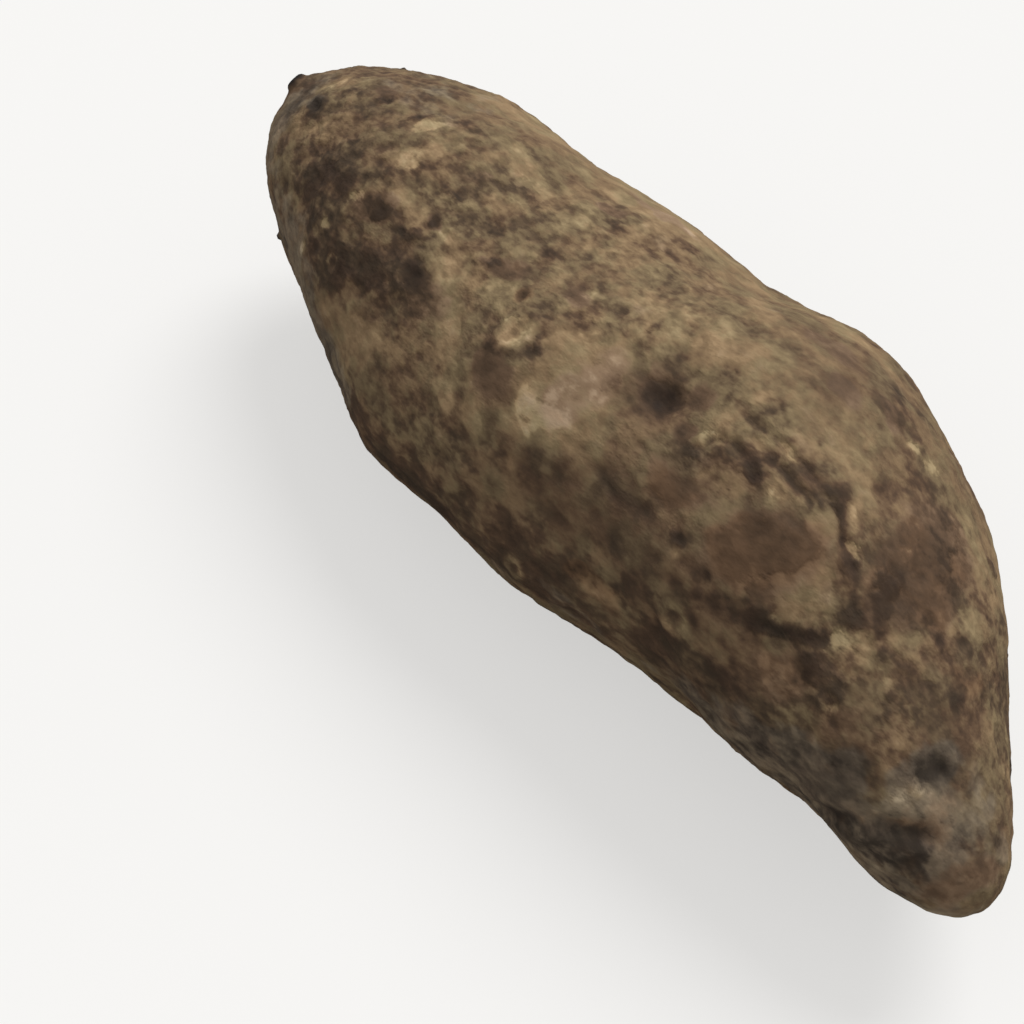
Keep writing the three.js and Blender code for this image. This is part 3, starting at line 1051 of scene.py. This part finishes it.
FURROWS = (
    Furrow(((0.72, 149), (0.7623, 143.5), (0.79, 138.5), (0.8123, 130), (0.822, 124)), 1.2, 0.6),
    Furrow(((0.86, 200), (0.88, 186), (0.90, 172), (0.918, 157), (0.942, 144), (0.96, 126)), 1.5, 0.9, 0.5),
    Furrow(((0.918, 126), (0.927, 116), (0.932, 104)), 1.5, 0.7),
    Furrow(((0.644, 122), (0.656, 118.5), (0.66, 114), (0.672, 112), (0.69, 114)), 0.7, 0.7, 0.3),
    Furrow(((0.655, 105), (0.6723, 104.2), (0.7014, 103.2), (0.725, 102), (0.742, 103)), 0.6, 0.6, 0.25),
    Furrow(((0.69, 109.5), (0.715, 107.5), (0.7368, 107.1), (0.75, 107.5)), 0.6, 0.5, 0.2),
    Furrow(((0.742, 103), (0.7686, 102.3), (0.7786, 105), (0.7977, 107.1)), 0.7, 0.5),
    Furrow(((0.52, 82), (0.56, 80), (0.60, 80)), 1.1, 0.3),
    Furrow(((0.58, 139), (0.62, 143), (0.66, 142), (0.69, 145)), 1.2, 0.3),
    Furrow(((0.60, 182), (0.62, 172), (0.66, 169), (0.68, 174)), 1.2, 0.4),
    Furrow(((0.27, 182), (0.285, 174), (0.30, 168)), 1.3, 0.4),
    Furrow(((0.845, 150), (0.85, 160), (0.845, 172)), 1.2, 0.4),
    Furrow(((0.31, 124), (0.325, 122), (0.335, 120)), 0.9, 0.3),
)


@dataclass
class HiddenSide:
    """Marks, pits and scars for the side that faces away, drawn from a seed.

    Args:
        seed: Of the draws.
        first: Where the side begins around the tuber, in degrees.
        last: Where it ends.
        large_pits: The radii of its largest pits.
        small_pits: How many smaller ones there are.
        scars: How many ring scars there are.
        creases: How many furrows there are.
        counts: Of each kind of mark, how many there are and their mean length.
    """

    seed: int = 41
    first: float = 212
    last: float = 400
    large_pits: tuple[float, ...] = (4.6, 3.4, 3.0)
    small_pits: int = 15
    scars: int = 7
    creases: int = 9
    counts: tuple[tuple[Kind, int, float], ...] = (
        (Kind.SPECKLED, 12, 55),
        (Kind.CORKY, 26, 20),
        (Kind.CRUST, 16, 9),
        (Kind.SHADED, 20, 15),
        (Kind.BROWN, 10, 16),
        (Kind.MAUVE, 8, 20),
        (Kind.RUSTY, 5, 13),
        (Kind.BARE, 22, 20),
        (Kind.FLAKE, 16, 5),
        (Kind.PINK, 8, 9),
        (Kind.ASH, 4, 8),
        (Kind.DUSTY, 8, 30),
    )

    def __post_init__(self) -> None:
        """Starts the draws."""
        self.rng = np.random.default_rng(self.seed)

    def place(self) -> tuple[float, float]:
        """A place on the hidden side, evenly spread."""
        return self.rng.uniform(0.04, 0.96), self.rng.uniform(self.first, self.last)

    def marks(self) -> list[Mark]:
        """The hidden side's marks, each longer than it is wide.

        Returns:
            The marks, kind by kind.
        """
        made = []
        for kind, count, mean in self.counts:
            for _ in range(count):
                length = mean * self.rng.uniform(0.5, 1.5)
                width = length * self.rng.uniform(0.35, 0.8)
                turn, strength = self.rng.uniform(-50, 50), self.rng.uniform(0.4, 0.9)
                made.append(Mark(kind, *self.place(), length, width, strength, turn))
        return made

    def pits(self) -> list[Pit]:
        """The hidden side's bud pits: a few large ones and more small ones."""
        radii = [*self.large_pits, *self.rng.uniform(1.2, 2.4, self.small_pits)]
        return [Pit(*self.place(), r, height=0.38 * r, stretch=self.rng.uniform(1, 1.6)) for r in radii]

    def ring_scars(self) -> list[RingScar]:
        """The hidden side's ring scars."""
        places = (self.place() for _ in range(self.scars))
        return [RingScar(*place, radius=self.rng.uniform(2.4, 4.2), height=0.45) for place in places]

    def furrows(self) -> list[Furrow]:
        """The hidden side's furrows, each a short line that wanders in four steps.

        Returns:
            The furrows.
        """
        made = []
        for _ in range(self.creases):
            along, around = self.place()
            steps = self.rng.normal(0, 1, (4, 2)).cumsum(axis=0) * (0.012, 4)
            line = [(min(max(along + s, 0.03), 0.97), around + t) for s, t in steps.tolist()]
            width, depth = self.rng.uniform(0.9, 1.5), self.rng.uniform(0.3, 0.7)
            made.append(Furrow(tuple(line), width, depth))
        return made


# ---------------------------------------------------------------- the skin


@dataclass
class TuberSkin:
    """The tuber's whole outer skin, one closed mesh that stands for the construction's solid.

    Args:
        name: The piece's name.
        grid: The quads that it is made of.
        lumps: Its broad swellings.
        dimples: Its shallow hollows.
        creasing: The noise whose zeros are the crests of its wrinkles.
        wrinkle_height: How high they stand.
        grain: Its finest roughness.
        tearing: How the edge of the unpeeled cork wanders.
        cork_thickness: How far that cork stands out.
        ragged: How far the noise shifts a mark's outline, in millimetres.
        raggedness: The layers of that noise.
        rest_softness: How softly the skin turns into the spot that it rests on, in millimetres.
        seeds: Of the three noises that shift outlines, then the relief's and the cork edge's.
    """

    NEARBY = (0.002, 0.5)  # a short step along, and around in degrees
    MARK_EDGE = (1.35, 0.45)  # where a mark begins to cover and where it is full, with 1 on its outline
    CORK_EDGE = (0.42, 0.58)  # the values of the cork layer between which its edge steps up
    PRESSED = (-0.5, 2.5)  # the heights over which the weight has pressed the bark flat, in millimetres
    WRINKLE_SLOPE = 2.4  # how fast a wrinkle falls away as its noise leaves 0
    INNER_SMOOTHNESS = 0.6  # how much of the wrinkles and grain the inner skin lacks
    RIDGE_SPAN = 0.9  # the relief that takes the ridge layer from 0 to 1, in millimetres

    name: str = "tuber_skin"
    grid: SkinGrid = SkinGrid()
    lumps: Unevenness = Unevenness(0.5, 26, 2)
    dimples: Unevenness = Unevenness(0.36, 8.5, 2, 50)
    creasing: Unevenness = Unevenness(1, 4.6, 2, 90, 0.55)
    wrinkle_height: float = 0.3
    grain: Unevenness = Unevenness(0.1, 2.2, 1, 130)
    tearing: Unevenness = Unevenness(0.3, 5, 3)
    cork_thickness: float = 0.3
    ragged: float = 2.4
    raggedness: tuple[Unevenness, ...] = (Unevenness(1, 13, 2), Unevenness(0.4, 4, 2))
    rest_softness: float = 0.35
    seeds: tuple[int, ...] = (3, 5, 8, 13, 21)

    def __post_init__(self) -> None:
        """Sets up the shape, the hidden side and the noises."""
        self.body = BodyShape()
        self.hidden = HiddenSide()
        *self.warp_noise, self.relief_noise, self.cork_noise = map(LatticeNoise, self.seeds)

    def surface_frame(self, along: float, around: float) -> tuple[Array, Array, Array]:
        """The skin's own directions at a place.

        Args:
            along: The share of the way from crown to tail.
            around: The angle in degrees.

        Returns:
            The place on the plain body, and unit steps towards the tail and towards larger around.
        """
        step, turn = self.NEARBY
        middle, tail, turned = self.body.at([along, along + step, along], [around, around, around + turn])
        forward = (tail - middle) / np.linalg.norm(tail - middle)
        sideways = turned - middle
        sideways -= (sideways @ forward) * forward
        return middle, forward, sideways / np.linalg.norm(sideways)

    def fray(self, points: Array, share: float = 1) -> Array:
        """Shifts points by noise, or a share of it, so that outlines laid over them are ragged."""
        shift = [sum(layer.at(noise, points) for layer in self.raggedness) for noise in self.warp_noise]
        return points + share * self.ragged * np.stack(shift, axis=1)

    def middles(self, things: Sequence[Mark | Round], share: float = 1) -> Array:
        """Where the middles of some things lie once the skin is frayed."""
        return self.fray(self.body.at([t.along for t in things], [t.around for t in things]), share)

    def distance(self, points: Array, mark: Mark, middle: Array) -> Array:
        """The root of the sum of squares of the lengthwise, crosswise and inward distances.

        Args:
            points: Frayed places.
            mark: The mark, which turns and scales the distances.
            middle: Where its middle lies once it is frayed.

        Returns:
            How far each point is from the mark's middle, with 1 on its outline.
        """
        _, forward, sideways = self.surface_frame(mark.along, mark.around)
        away = points - middle
        turn = math.radians(mark.turn)
        u, v = away @ forward, away @ sideways
        lengthwise = (u * math.cos(turn) + v * math.sin(turn)) / (mark.length / 2)
        crosswise = (v * math.cos(turn) - u * math.sin(turn)) / (mark.width / 2)
        depth = (away @ np.cross(forward, sideways)) / mark.length
        return np.sqrt(lengthwise**2 + crosswise**2 + depth**2)

    def layers(self, points: Array) -> dict[Field, Array]:
        """The layers: what a layer's marks leave uncovered, multiplied together, taken from 1.

        Args:
            points: Places on the plain body.

        Returns:
            Every layer's value at each.
        """
        frayed = self.fray(points)
        marks = [*MARKS, *self.hidden.marks()]
        bare = {layer: np.ones(len(points)) for layer in Field}
        for mark, middle in zip(marks, self.middles(marks)):
            cover = mark.strength * smooth(*self.MARK_EDGE, self.distance(frayed, mark, middle))
            for layer, share in mark.kind.value:
                bare[layer] *= 1 - share * cover
        return {layer: 1 - left for layer, left in bare.items()}

    def round_relief(self, points: Array, things: Sequence[Round]) -> tuple[Array, Array, Array]:
        """The relief of round things of one class.

        Args:
            points: Places on the plain body.
            things: The pits, scars or stubs.

        Returns:
            The relief, and how dark and how pale they make the skin, from 0 to 1.
        """
        relief, dark, pale = (np.zeros(len(points)) for _ in range(3))
        share = things[0].FRAY
        frayed = self.fray(points, share)
        for thing, middle in zip(things, self.middles(things, share)):
            width = 2 * thing.radius
            outline = Mark(Kind.SHADED, thing.along, thing.around, width * thing.stretch, width)
            away = self.distance(frayed, outline, middle)
            relief += thing.relief(away)
            dark = np.maximum(dark, thing.shade(away))
            pale = np.maximum(pale, thing.glow(away))
        return relief, dark, pale

    def furrow_relief(self, points: Array) -> tuple[Array, Array]:
        """The furrows: -depth times a bell of the distance to the line, which fades at both ends.

        Args:
            points: Places on the plain body.

        Returns:
            The relief, and how dark the furrows are from 0 to 1.
        """
        relief, dark = np.zeros(len(points)), np.zeros(len(points))
        points = self.fray(points, Furrow.FRAY)
        for furrow in [*FURROWS, *self.hidden.furrows()]:
            line = self.fray(self.body.at(*np.array(furrow.line).T), Furrow.FRAY)
            nearest, way = np.full(len(points), np.inf), np.zeros(len(points))
            for i, (start, end) in enumerate(zip(line[:-1], line[1:])):
                step = end - start
                share = np.clip((points - start) @ step / (step @ step), 0, 1)
                away = np.linalg.norm(points - start - share[:, None] * step, axis=1)
                way = np.where(away < nearest, (i + share) / (len(line) - 1), way)
                nearest = np.minimum(nearest, away)
            fade = smooth(0, Furrow.FADE, way) * smooth(1, 1 - Furrow.FADE, way)
            relief -= furrow.depth * fade * bell(nearest, furrow.width)
            relief += furrow.lip * fade * bell(nearest - Furrow.LIP_AT * furrow.width, furrow.width)
            # painted shade along the furrow, with the soil in it
            shade = min(1, 0.3 + 0.8 * furrow.depth) * fade * bell(nearest, 0.8 * furrow.width)
            dark = np.maximum(dark, shade)
        return relief, dark

    def bark_relief(self, points: Array, fields: dict[Field, Array]) -> tuple[Array, Array]:
        """The bark's own relief: lumps, dimples, wrinkles, grain and the step at the edge of the cork.

        Args:
            points: Places on the plain body.
            fields: The skin's layers.

        Returns:
            How far the bark stands out, and the ridge layer, which tells a crest from a valley.
        """
        noise = self.relief_noise
        cork_edge = smooth(*self.CORK_EDGE, fields[Field.CORK] + self.tearing.at(self.cork_noise, points))
        lumps, dimples = self.lumps.at(noise, points), self.dimples.at(noise, points)
        wrinkles = self.wrinkle_height * (1 - self.WRINKLE_SLOPE * np.abs(self.creasing.at(noise, points)))
        coarseness = 1 - self.INNER_SMOOTHNESS * np.clip(fields[Field.BROWN] + fields[Field.TAN], 0, 1)
        grain = self.grain.at(noise, points)
        ridge = np.clip(0.5 + (dimples + 1.4 * wrinkles + grain) / self.RIDGE_SPAN, 0, 1)
        relief = lumps + dimples + (wrinkles + grain) * coarseness + self.cork_thickness * cork_edge
        return relief, ridge

    def settle(self, points: Array) -> Array:
        """Moves the skin to where the construction's solid is, which has its lowest part worn away.

        Args:
            points: The skin, around its own axes.

        Returns:
            The skin, with its middle over the solid's and its top at the same height.
        """
        low, high = (np.array(corner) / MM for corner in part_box(CAD_NODE))
        middle = (points.min(axis=0) + points.max(axis=0)) / 2
        shift = np.append(((low + high) / 2 - middle)[:2], high[2] - points[:, 2].max())
        return points + shift

    def wear(self, points: Array) -> Array:
        """Wears the skin flat on the surface that it rests on.

        A height z becomes (z + root of (z^2 + softness^2)) / 2, less the smallest of these.

        Args:
            points: The skin where it lies, with its lowest part below 0.

        Returns:
            The skin with nothing below 0.
        """
        z = points[:, 2]
        worn = (z + np.sqrt(z**2 + self.rest_softness**2)) / 2
        return np.column_stack([points[:, :2], worn - worn.min()])

    def build(self) -> bpy.types.Object:
        """Makes the skin.

        Returns:
            The finished object, with one attribute for each layer of the skin.
        """
        plain, faces = self.grid.build(self.body)
        placed = self.settle(plain + vertex_normals(plain, faces) * self.body.relief(plain)[:, None])
        fields = self.layers(plain)

        pits, pit_dark, _ = self.round_relief(plain, [*PITS, *self.hidden.pits()])
        scars, scar_dark, ring = self.round_relief(plain, [*RING_SCARS, *self.hidden.ring_scars()])
        stubs, fields[Field.STUB], _ = self.round_relief(plain, STUBS)
        furrows, furrow_dark = self.furrow_relief(plain)
        # Pits, scar dimples and furrows are darkened for soil and for painted shade.
        fields[Field.HOLLOW] = np.clip(np.maximum.reduce([pit_dark, scar_dark, furrow_dark]), 0, 1)
        fields[Field.TAN] = np.maximum(fields[Field.TAN], ring)
        fields[Field.PALE] = np.maximum(fields[Field.PALE], RingScar.PALENESS * ring)

        bark, fields[Field.RIDGE] = self.bark_relief(plain, fields)
        pressed = smooth(*self.PRESSED, placed[:, 2])
        relief = (bark + scars) * pressed + pits + furrows + stubs
        skin = self.wear(placed + vertex_normals(placed, faces) * relief[:, None])

        made = make_object(self.name, skin, faces)
        for layer, values in fields.items():
            attribute = made.data.attributes.new(layer.value, "FLOAT", "POINT")
            attribute.data.foreach_set("value", values.astype(np.float32))
        return made


# ---------------------------------------------------------------- finishes


class NodePlan:
    """A new material's node tree, and the patterns that a bark is worked out from."""

    SEED_WAY = (1, 1.7, 2.3)  # the way that a seed moves the noise
    VALLEY = 0.36  # the noise's value in its valleys
    CREST = 0.64  # and on its crests

    def __init__(self, name: str) -> None:
        """Makes an empty material.

        Args:
            name: The material's name.
        """
        self.material = bpy.data.materials.new(name)
        self.material.use_nodes = True
        self.tree = self.material.node_tree
        self.tree.nodes.clear()
        self.place = add_node(self.tree, "ShaderNodeTexCoord").outputs["Object"]

    def noise(
        self, size_mm: float, detail: float, seed: float, roughness: float = 0.6, along: float = 1
    ) -> Source:
        """Fractal noise centred on 0.5.

        Args:
            size_mm: The size of its largest blotches.
            detail: How many finer octaves it has.
            seed: Moves it to another part of the noise.
            roughness: How strong the finer octaves are.
            along: How many times longer its blotches are along the tuber.

        Returns:
            Its value.
        """
        shift = tuple(seed * part for part in self.SEED_WAY)
        inputs = {0: self.place, 1: (1 / along, 1, 1), 2: shift}
        moved = add_node(self.tree, "ShaderNodeVectorMath", inputs, operation="MULTIPLY_ADD")
        inputs = {"Vector": moved, "Scale": 1 / (size_mm * MM), "Detail": detail, "Roughness": roughness}
        return add_node(self.tree, "ShaderNodeTexNoise", inputs)

    def total(self, constant: float, *terms: tuple[Source, float]) -> Source | float:
        """A weighted sum.

        Args:
            constant: What it starts from.
            terms: Values, each with its weight.

        Returns:
            The constant plus each value times its weight.
        """
        value = constant
        for term, weight in terms:
            inputs = {0: term, 1: weight, 2: value}
            value = add_node(self.tree, "ShaderNodeMath", inputs, operation="MULTIPLY_ADD")
        return value

    def patch(
        self,
        constant: float,
        *terms: tuple[Source, float],
        low: float = 0.2,
        high: float = 0.85,
        top: float = 1,
    ) -> Source:
        """Patches with torn edges.

        Args:
            constant: What their weighted sum starts from.
            terms: What it adds, each with its weight.
            low: The sum at which a patch begins.
            high: The sum at which it is full.
            top: Its value there.

        Returns:
            A smooth rise from 0 to the top.
        """
        ends = {"From Min": low, "From Max": high, "To Max": top}
        inputs = {"Value": self.total(constant, *terms), **ends}
        return add_node(self.tree, "ShaderNodeMapRange", inputs, interpolation_type="SMOOTHSTEP")

    def specks(self, noise: Source, strength: Source) -> Source:
        """Specks of a noise, from dark to light.

        Args:
            noise: Whose valleys and crests they are.
            strength: How strong they are.

        Returns:
            A smooth rise from minus the strength in the valleys to plus the strength on the crests.
        """
        ends = {"From Min": self.VALLEY, "From Max": self.CREST, "To Max": strength}
        inputs = {"Value": noise, "To Min": self.total(0.0, (strength, -1.0)), **ends}
        return add_node(self.tree, "ShaderNodeMapRange", inputs, interpolation_type="SMOOTHSTEP")


@dataclass(frozen=True)
class CorkySkin:
    """Yam cork: a dry, dull, papery bark peeling in layers off a tan underskin; soil and painted shade darken
    its hollows.

    It scatters light with no clear highlight, so it is rough all over, and a little less so on the smooth
    inner skin. One tone, from black cork to fresh underskin, carries most of its colour: the layers and
    several sizes of noise add up to it, so every edge is torn at all those sizes.

    Args:
        name: The material's name.
        tones: The bark's colour for each tone.
        brown: The smooth inner skin's.
        rust: The reddish inner skin's.
        bloom: The dusty bark's.
        stub: The colour of dead shoot and root ends.
        warm: One of the two tints that the bark's colour wanders between.
        cool: The other.
        roughness: Of the bark.
        smooth_roughness: Of the smooth inner skin.
        specular: How much light it mirrors, where 0.5 is usual.
        bump_mm: How high the relief that is too fine for the mesh stands.
    """

    name: str = "yam_cork_skin"
    tones: tuple[tuple[float, str], ...] = (
        (0.0, "#332a23"), (0.14, "#40342b"), (0.3, "#4f4034"), (0.4, "#5d4b3c"), (0.47, "#6c5845"),
        (0.54, "#7b6750"), (0.66, "#8e795d"), (0.78, "#a28b6c"), (0.9, "#b59e7c"), (1.0, "#c8b190"),
    )
    brown: tuple[tuple[float, str], ...] = (
        (0.0, "#291f19"), (0.3, "#4a3a2c"), (0.47, "#6d5642"), (0.66, "#947a60"), (1.0, "#ccb193"),
    )
    rust: tuple[tuple[float, str], ...] = (
        (0.0, "#2b1e16"), (0.3, "#4c3929"), (0.47, "#70553e"), (0.66, "#967758"), (1.0, "#cfac89"),
    )
    bloom: tuple[tuple[float, str], ...] = (
        (0.0, "#262220"), (0.3, "#423c35"), (0.47, "#62594e"), (0.66, "#897b69"), (1.0, "#c4b298"),
    )
    stub: str = "#1f1b1b"
    warm: str = "#fff8f2"
    cool: str = "#f6f9f2"
    roughness: float = 0.84
    smooth_roughness: float = 0.68
    specular: float = 0.15
    bump_mm: float = 1.2

    def build(self) -> bpy.types.Material:
        """Makes the material.

        Returns:
            A material with one Principled shader, whose colour, roughness and normal are patterned.
        """
        plan = NodePlan(self.name)
        add = partial(add_node, plan.tree)
        layers = [add("ShaderNodeAttribute", attribute_name=layer.value).outputs["Fac"] for layer in Field]
        mottle, cork, dark, brown, rust, tan, pale, grey, hollow, ridge, stub = layers
        flake = plan.noise(8, 3, 0.0, roughness=0.5, along=1.3)
        peel = plan.noise(9, 3, 21.3, roughness=0.5, along=1.3)
        crumb = plan.noise(4, 3, 31.7, roughness=0.5, along=1.3)
        chip = plan.noise(1.7, 2, 3.1, roughness=0.5, along=1.5)
        grain = plan.noise(0.8, 1, 5.7, along=2.5)
        cloud = plan.noise(18, 2, 9.2)
        hue = plan.noise(9, 4, 14.9)

        corked = plan.patch(2.0, (cork, 1.0), (flake, -2.0), (crumb, -1.2), (chip, -0.8))
        peeled = plan.patch(-2.0, (tan, 1.0), (peel, 2.0), (crumb, 1.2), (chip, 0.8))
        fresh = plan.patch(-1.1, (pale, 1.0), (crumb, 1.4), (chip, 0.8), low=0.35, high=0.75)
        browned = plan.patch(-0.9, (brown, 1.0), (hue, 1.0), (crumb, 0.8), high=0.8)
        film = ((peel, 1.8), (crumb, 1.0))
        dusty = plan.patch(-1.4, (grey, 1.0), *film, low=0.25, high=0.8, top=0.65)
        rusty = plan.patch(-1.4, (rust, 1.0), *film, low=0.25, high=0.8, top=0.6)

        crumbs = plan.specks(crumb, plan.total(0.035, (mottle, 0.06)))
        chips = plan.specks(chip, plan.total(0.02, (mottle, 0.045)))
        speckle = plan.total(
            -0.295, (flake, 0.3), (crumbs, 1.0), (chips, 1.0), (chip, 0.06), (grain, 0.08), (cloud, 0.15)
        )
        calm = plan.total(1.0, (tan, -0.25), (brown, -0.45), (dark, -0.2))
        # The hollow term darkens pits and furrows with soil and painted shade.
        darker = ((cork, -0.09), (corked, -0.1), (browned, -0.06), (dark, -0.12), (hollow, -0.2))
        # The ridge term lightens crests over valleys: soil in the valleys, and painted shade.
        lighter = ((ridge, 0.1), (tan, 0.07), (peeled, 0.07), (fresh, 0.15), (pale, 0.09))
        speckle = add("ShaderNodeMath", {0: speckle, 1: calm}, operation="MULTIPLY")
        tone = plan.total(0.49, (speckle, 1.0), *lighter, *darker)

        warmth = add(
            "ShaderNodeMapRange",
            {"Value": hue, "From Min": 0.4, "From Max": 0.6},
            interpolation_type="SMOOTHSTEP",
        )
        tint = add("ShaderNodeMix", {0: warmth, 6: self.cool, 7: self.warm}, data_type="RGBA")
        colour = add("ShaderNodeValToRGB", {0: tone}, self.tones)
        colour = add("ShaderNodeMix", {0: 1.0, 6: colour, 7: tint}, data_type="RGBA", blend_type="MULTIPLY")
        for share, stops in ((dusty, self.bloom), (browned, self.brown), (rusty, self.rust)):
            above = add("ShaderNodeValToRGB", {0: tone}, stops)
            colour = add("ShaderNodeMix", {0: share, 6: colour, 7: above}, data_type="RGBA")
        colour = add("ShaderNodeMix", {0: stub, 6: colour, 7: self.stub}, data_type="RGBA")

        rough = plan.total(-0.91, (flake, 0.5), (crumb, 0.9), (chip, 0.35), (grain, 0.07))
        rough = add("ShaderNodeMath", {0: rough, 1: calm}, operation="MULTIPLY")
        height = plan.total(0.0, (rough, 1.0), (corked, 0.2), (peeled, -0.2), (fresh, -0.1))
        bump = add("ShaderNodeBump", {"Distance": self.bump_mm * MM, "Strength": 1, "Height": height})
        gloss = add(
            "ShaderNodeMapRange",
            {"Value": browned, "To Min": self.roughness, "To Max": self.smooth_roughness},
            interpolation_type="SMOOTHSTEP",
        )
        look = {"Base Color": colour, "Roughness": gloss, "Normal": bump, "Specular IOR Level": self.specular}
        add("ShaderNodeOutputMaterial", {"Surface": add("ShaderNodeBsdfPrincipled", look)})
        return plan.material


@dataclass(frozen=True)
class PaleFloor:
    """A matt painted studio floor: near white where the camera sees it, and grey to the light it returns.

    Args:
        name: The material's name.
        seen: Its colour to the camera.
        returned: Its colour to the light that it returns.
        own_light: The share of what the camera sees that no shadow dims.
    """

    name: str = "matt_floor_paint"
    seen: str = "#f7f6f4"
    returned: str = "#8a8784"
    own_light: float = 0.6

    def build(self) -> bpy.types.Material:
        """Makes the material.

        Returns:
            A diffuse paint, mixed with its own light where the camera sees it.
        """
        material = bpy.data.materials.new(self.name)
        material.use_nodes = True
        add = partial(add_node, material.node_tree)
        material.node_tree.nodes.clear()
        camera = add("ShaderNodeLightPath").outputs["Is Camera Ray"]
        paint = add("ShaderNodeMix", {0: camera, 6: self.returned, 7: self.seen}, data_type="RGBA")
        matt = add("ShaderNodeBsdfDiffuse", {"Color": paint})
        glow = add("ShaderNodeEmission", {"Color": self.seen})
        share = add("ShaderNodeMath", {0: camera, 1: self.own_light}, operation="MULTIPLY")
        both = add("ShaderNodeMixShader", {0: share, 1: matt, 2: glow})
        add("ShaderNodeOutputMaterial", {"Surface": both})
        return material


# ---------------------------------------------------------------- the studio


@dataclass
class Studio:
    """The pale floor, the soft light and the camera.

    Args:
        floor_side: In metres.
        sun_from: Where the key light comes from.
        sun_level: Its light on a surface that faces it, where pi shows a white surface as white.
        sun_angle: Its apparent size in degrees, which softens the shadow.
        sky_level: The even light from all around, where 1 alone would show white as white.
        sky_seen: How bright the sky is to the camera, where 1 is white.
        azimuth: The way that the camera stands from the target, in degrees from -Y towards +X.
        elevation: How high it stands, in degrees.
        distance: From the camera to the target, in metres.
        target: The point that it looks at.
        lens: Its focal length in millimetres.
        nearest: What is closer to it than this, in metres, is left out.
    """

    floor_side: float = 12.0
    sun_from: tuple[float, float, float] = (-0.12, 0.52, 0.75)
    sun_level: float = 1.9
    sun_angle: float = 35
    sky_level: float = 0.52
    sky_seen: float = 0.94
    azimuth: float = 52
    elevation: float = 50
    distance: float = 0.399
    target: tuple[float, float, float] = (0.0014, -0.0356, 0.0343)
    lens: float = 60
    nearest: float = 0.01

    def floor(self) -> None:
        """Lays the floor at the height that the tuber rests on."""
        half = self.floor_side / 2
        corners = np.array([(-half, -half, 0), (half, -half, 0), (half, half, 0), (-half, half, 0)]) / MM
        made = make_object("floor", corners, np.array([[0, 1, 2, 3]]))
        made.data.materials.append(PaleFloor().build())

    def sun(self) -> None:
        """Hangs the broad, soft key light."""
        lamp = bpy.data.lights.new("key_light", "SUN")
        lamp.energy = self.sun_level
        lamp.angle = math.radians(self.sun_angle)
        key = bpy.data.objects.new("key_light", lamp)
        key.rotation_euler = Vector(self.sun_from).to_track_quat("Z", "Y").to_euler()
        bpy.context.scene.collection.objects.link(key)

    def sky(self) -> None:
        """Makes the sky plain: nearly white to the camera, and dimmer as a light."""
        world = bpy.data.worlds.new("studio")
        world.use_nodes = True
        add = partial(add_node, world.node_tree)
        world.node_tree.nodes.clear()
        camera = add("ShaderNodeLightPath").outputs["Is Camera Ray"]
        levels = {"To Min": self.sky_level, "To Max": self.sky_seen}
        level = add("ShaderNodeMapRange", {"Value": camera, **levels})
        sky = add("ShaderNodeBackground", {"Color": "#ffffff", "Strength": level})
        add("ShaderNodeOutputWorld", {"Surface": sky})
        bpy.context.scene.world = world

    def camera(self) -> None:
        """Sets the camera on a line through the target, at the azimuth and elevation."""
        turn, tilt = math.radians(self.azimuth), math.radians(self.elevation)
        back = Vector((math.sin(turn) * math.cos(tilt), -math.cos(turn) * math.cos(tilt), math.sin(tilt)))
        data = bpy.data.cameras.new("camera")
        data.lens = self.lens
        data.clip_start = self.nearest
        made = bpy.data.objects.new("camera", data)
        made.location = Vector(self.target) + back * self.distance
        made.rotation_euler = back.to_track_quat("Z", "Y").to_euler()
        bpy.context.scene.collection.objects.link(made)
        bpy.context.scene.camera = made

    def build(self) -> None:
        """Sets up the whole studio."""
        bpy.context.scene.view_settings.view_transform = "Standard"
        self.camera()
        self.floor()
        self.sun()
        self.sky()


def main() -> None:
    """Builds the studio and the tuber."""
    logging.basicConfig(level=logging.INFO, format="%(name)s: %(message)s")
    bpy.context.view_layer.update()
    Studio().build()
    skin = TuberSkin().build()
    skin.data.materials.append(CorkySkin().build())
    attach(skin, BODY)
    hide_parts(CAD_NODE)
    LOG.info("%s: %d quads", skin.name, len(skin.data.polygons))


if __name__ == "__main__":
    main()
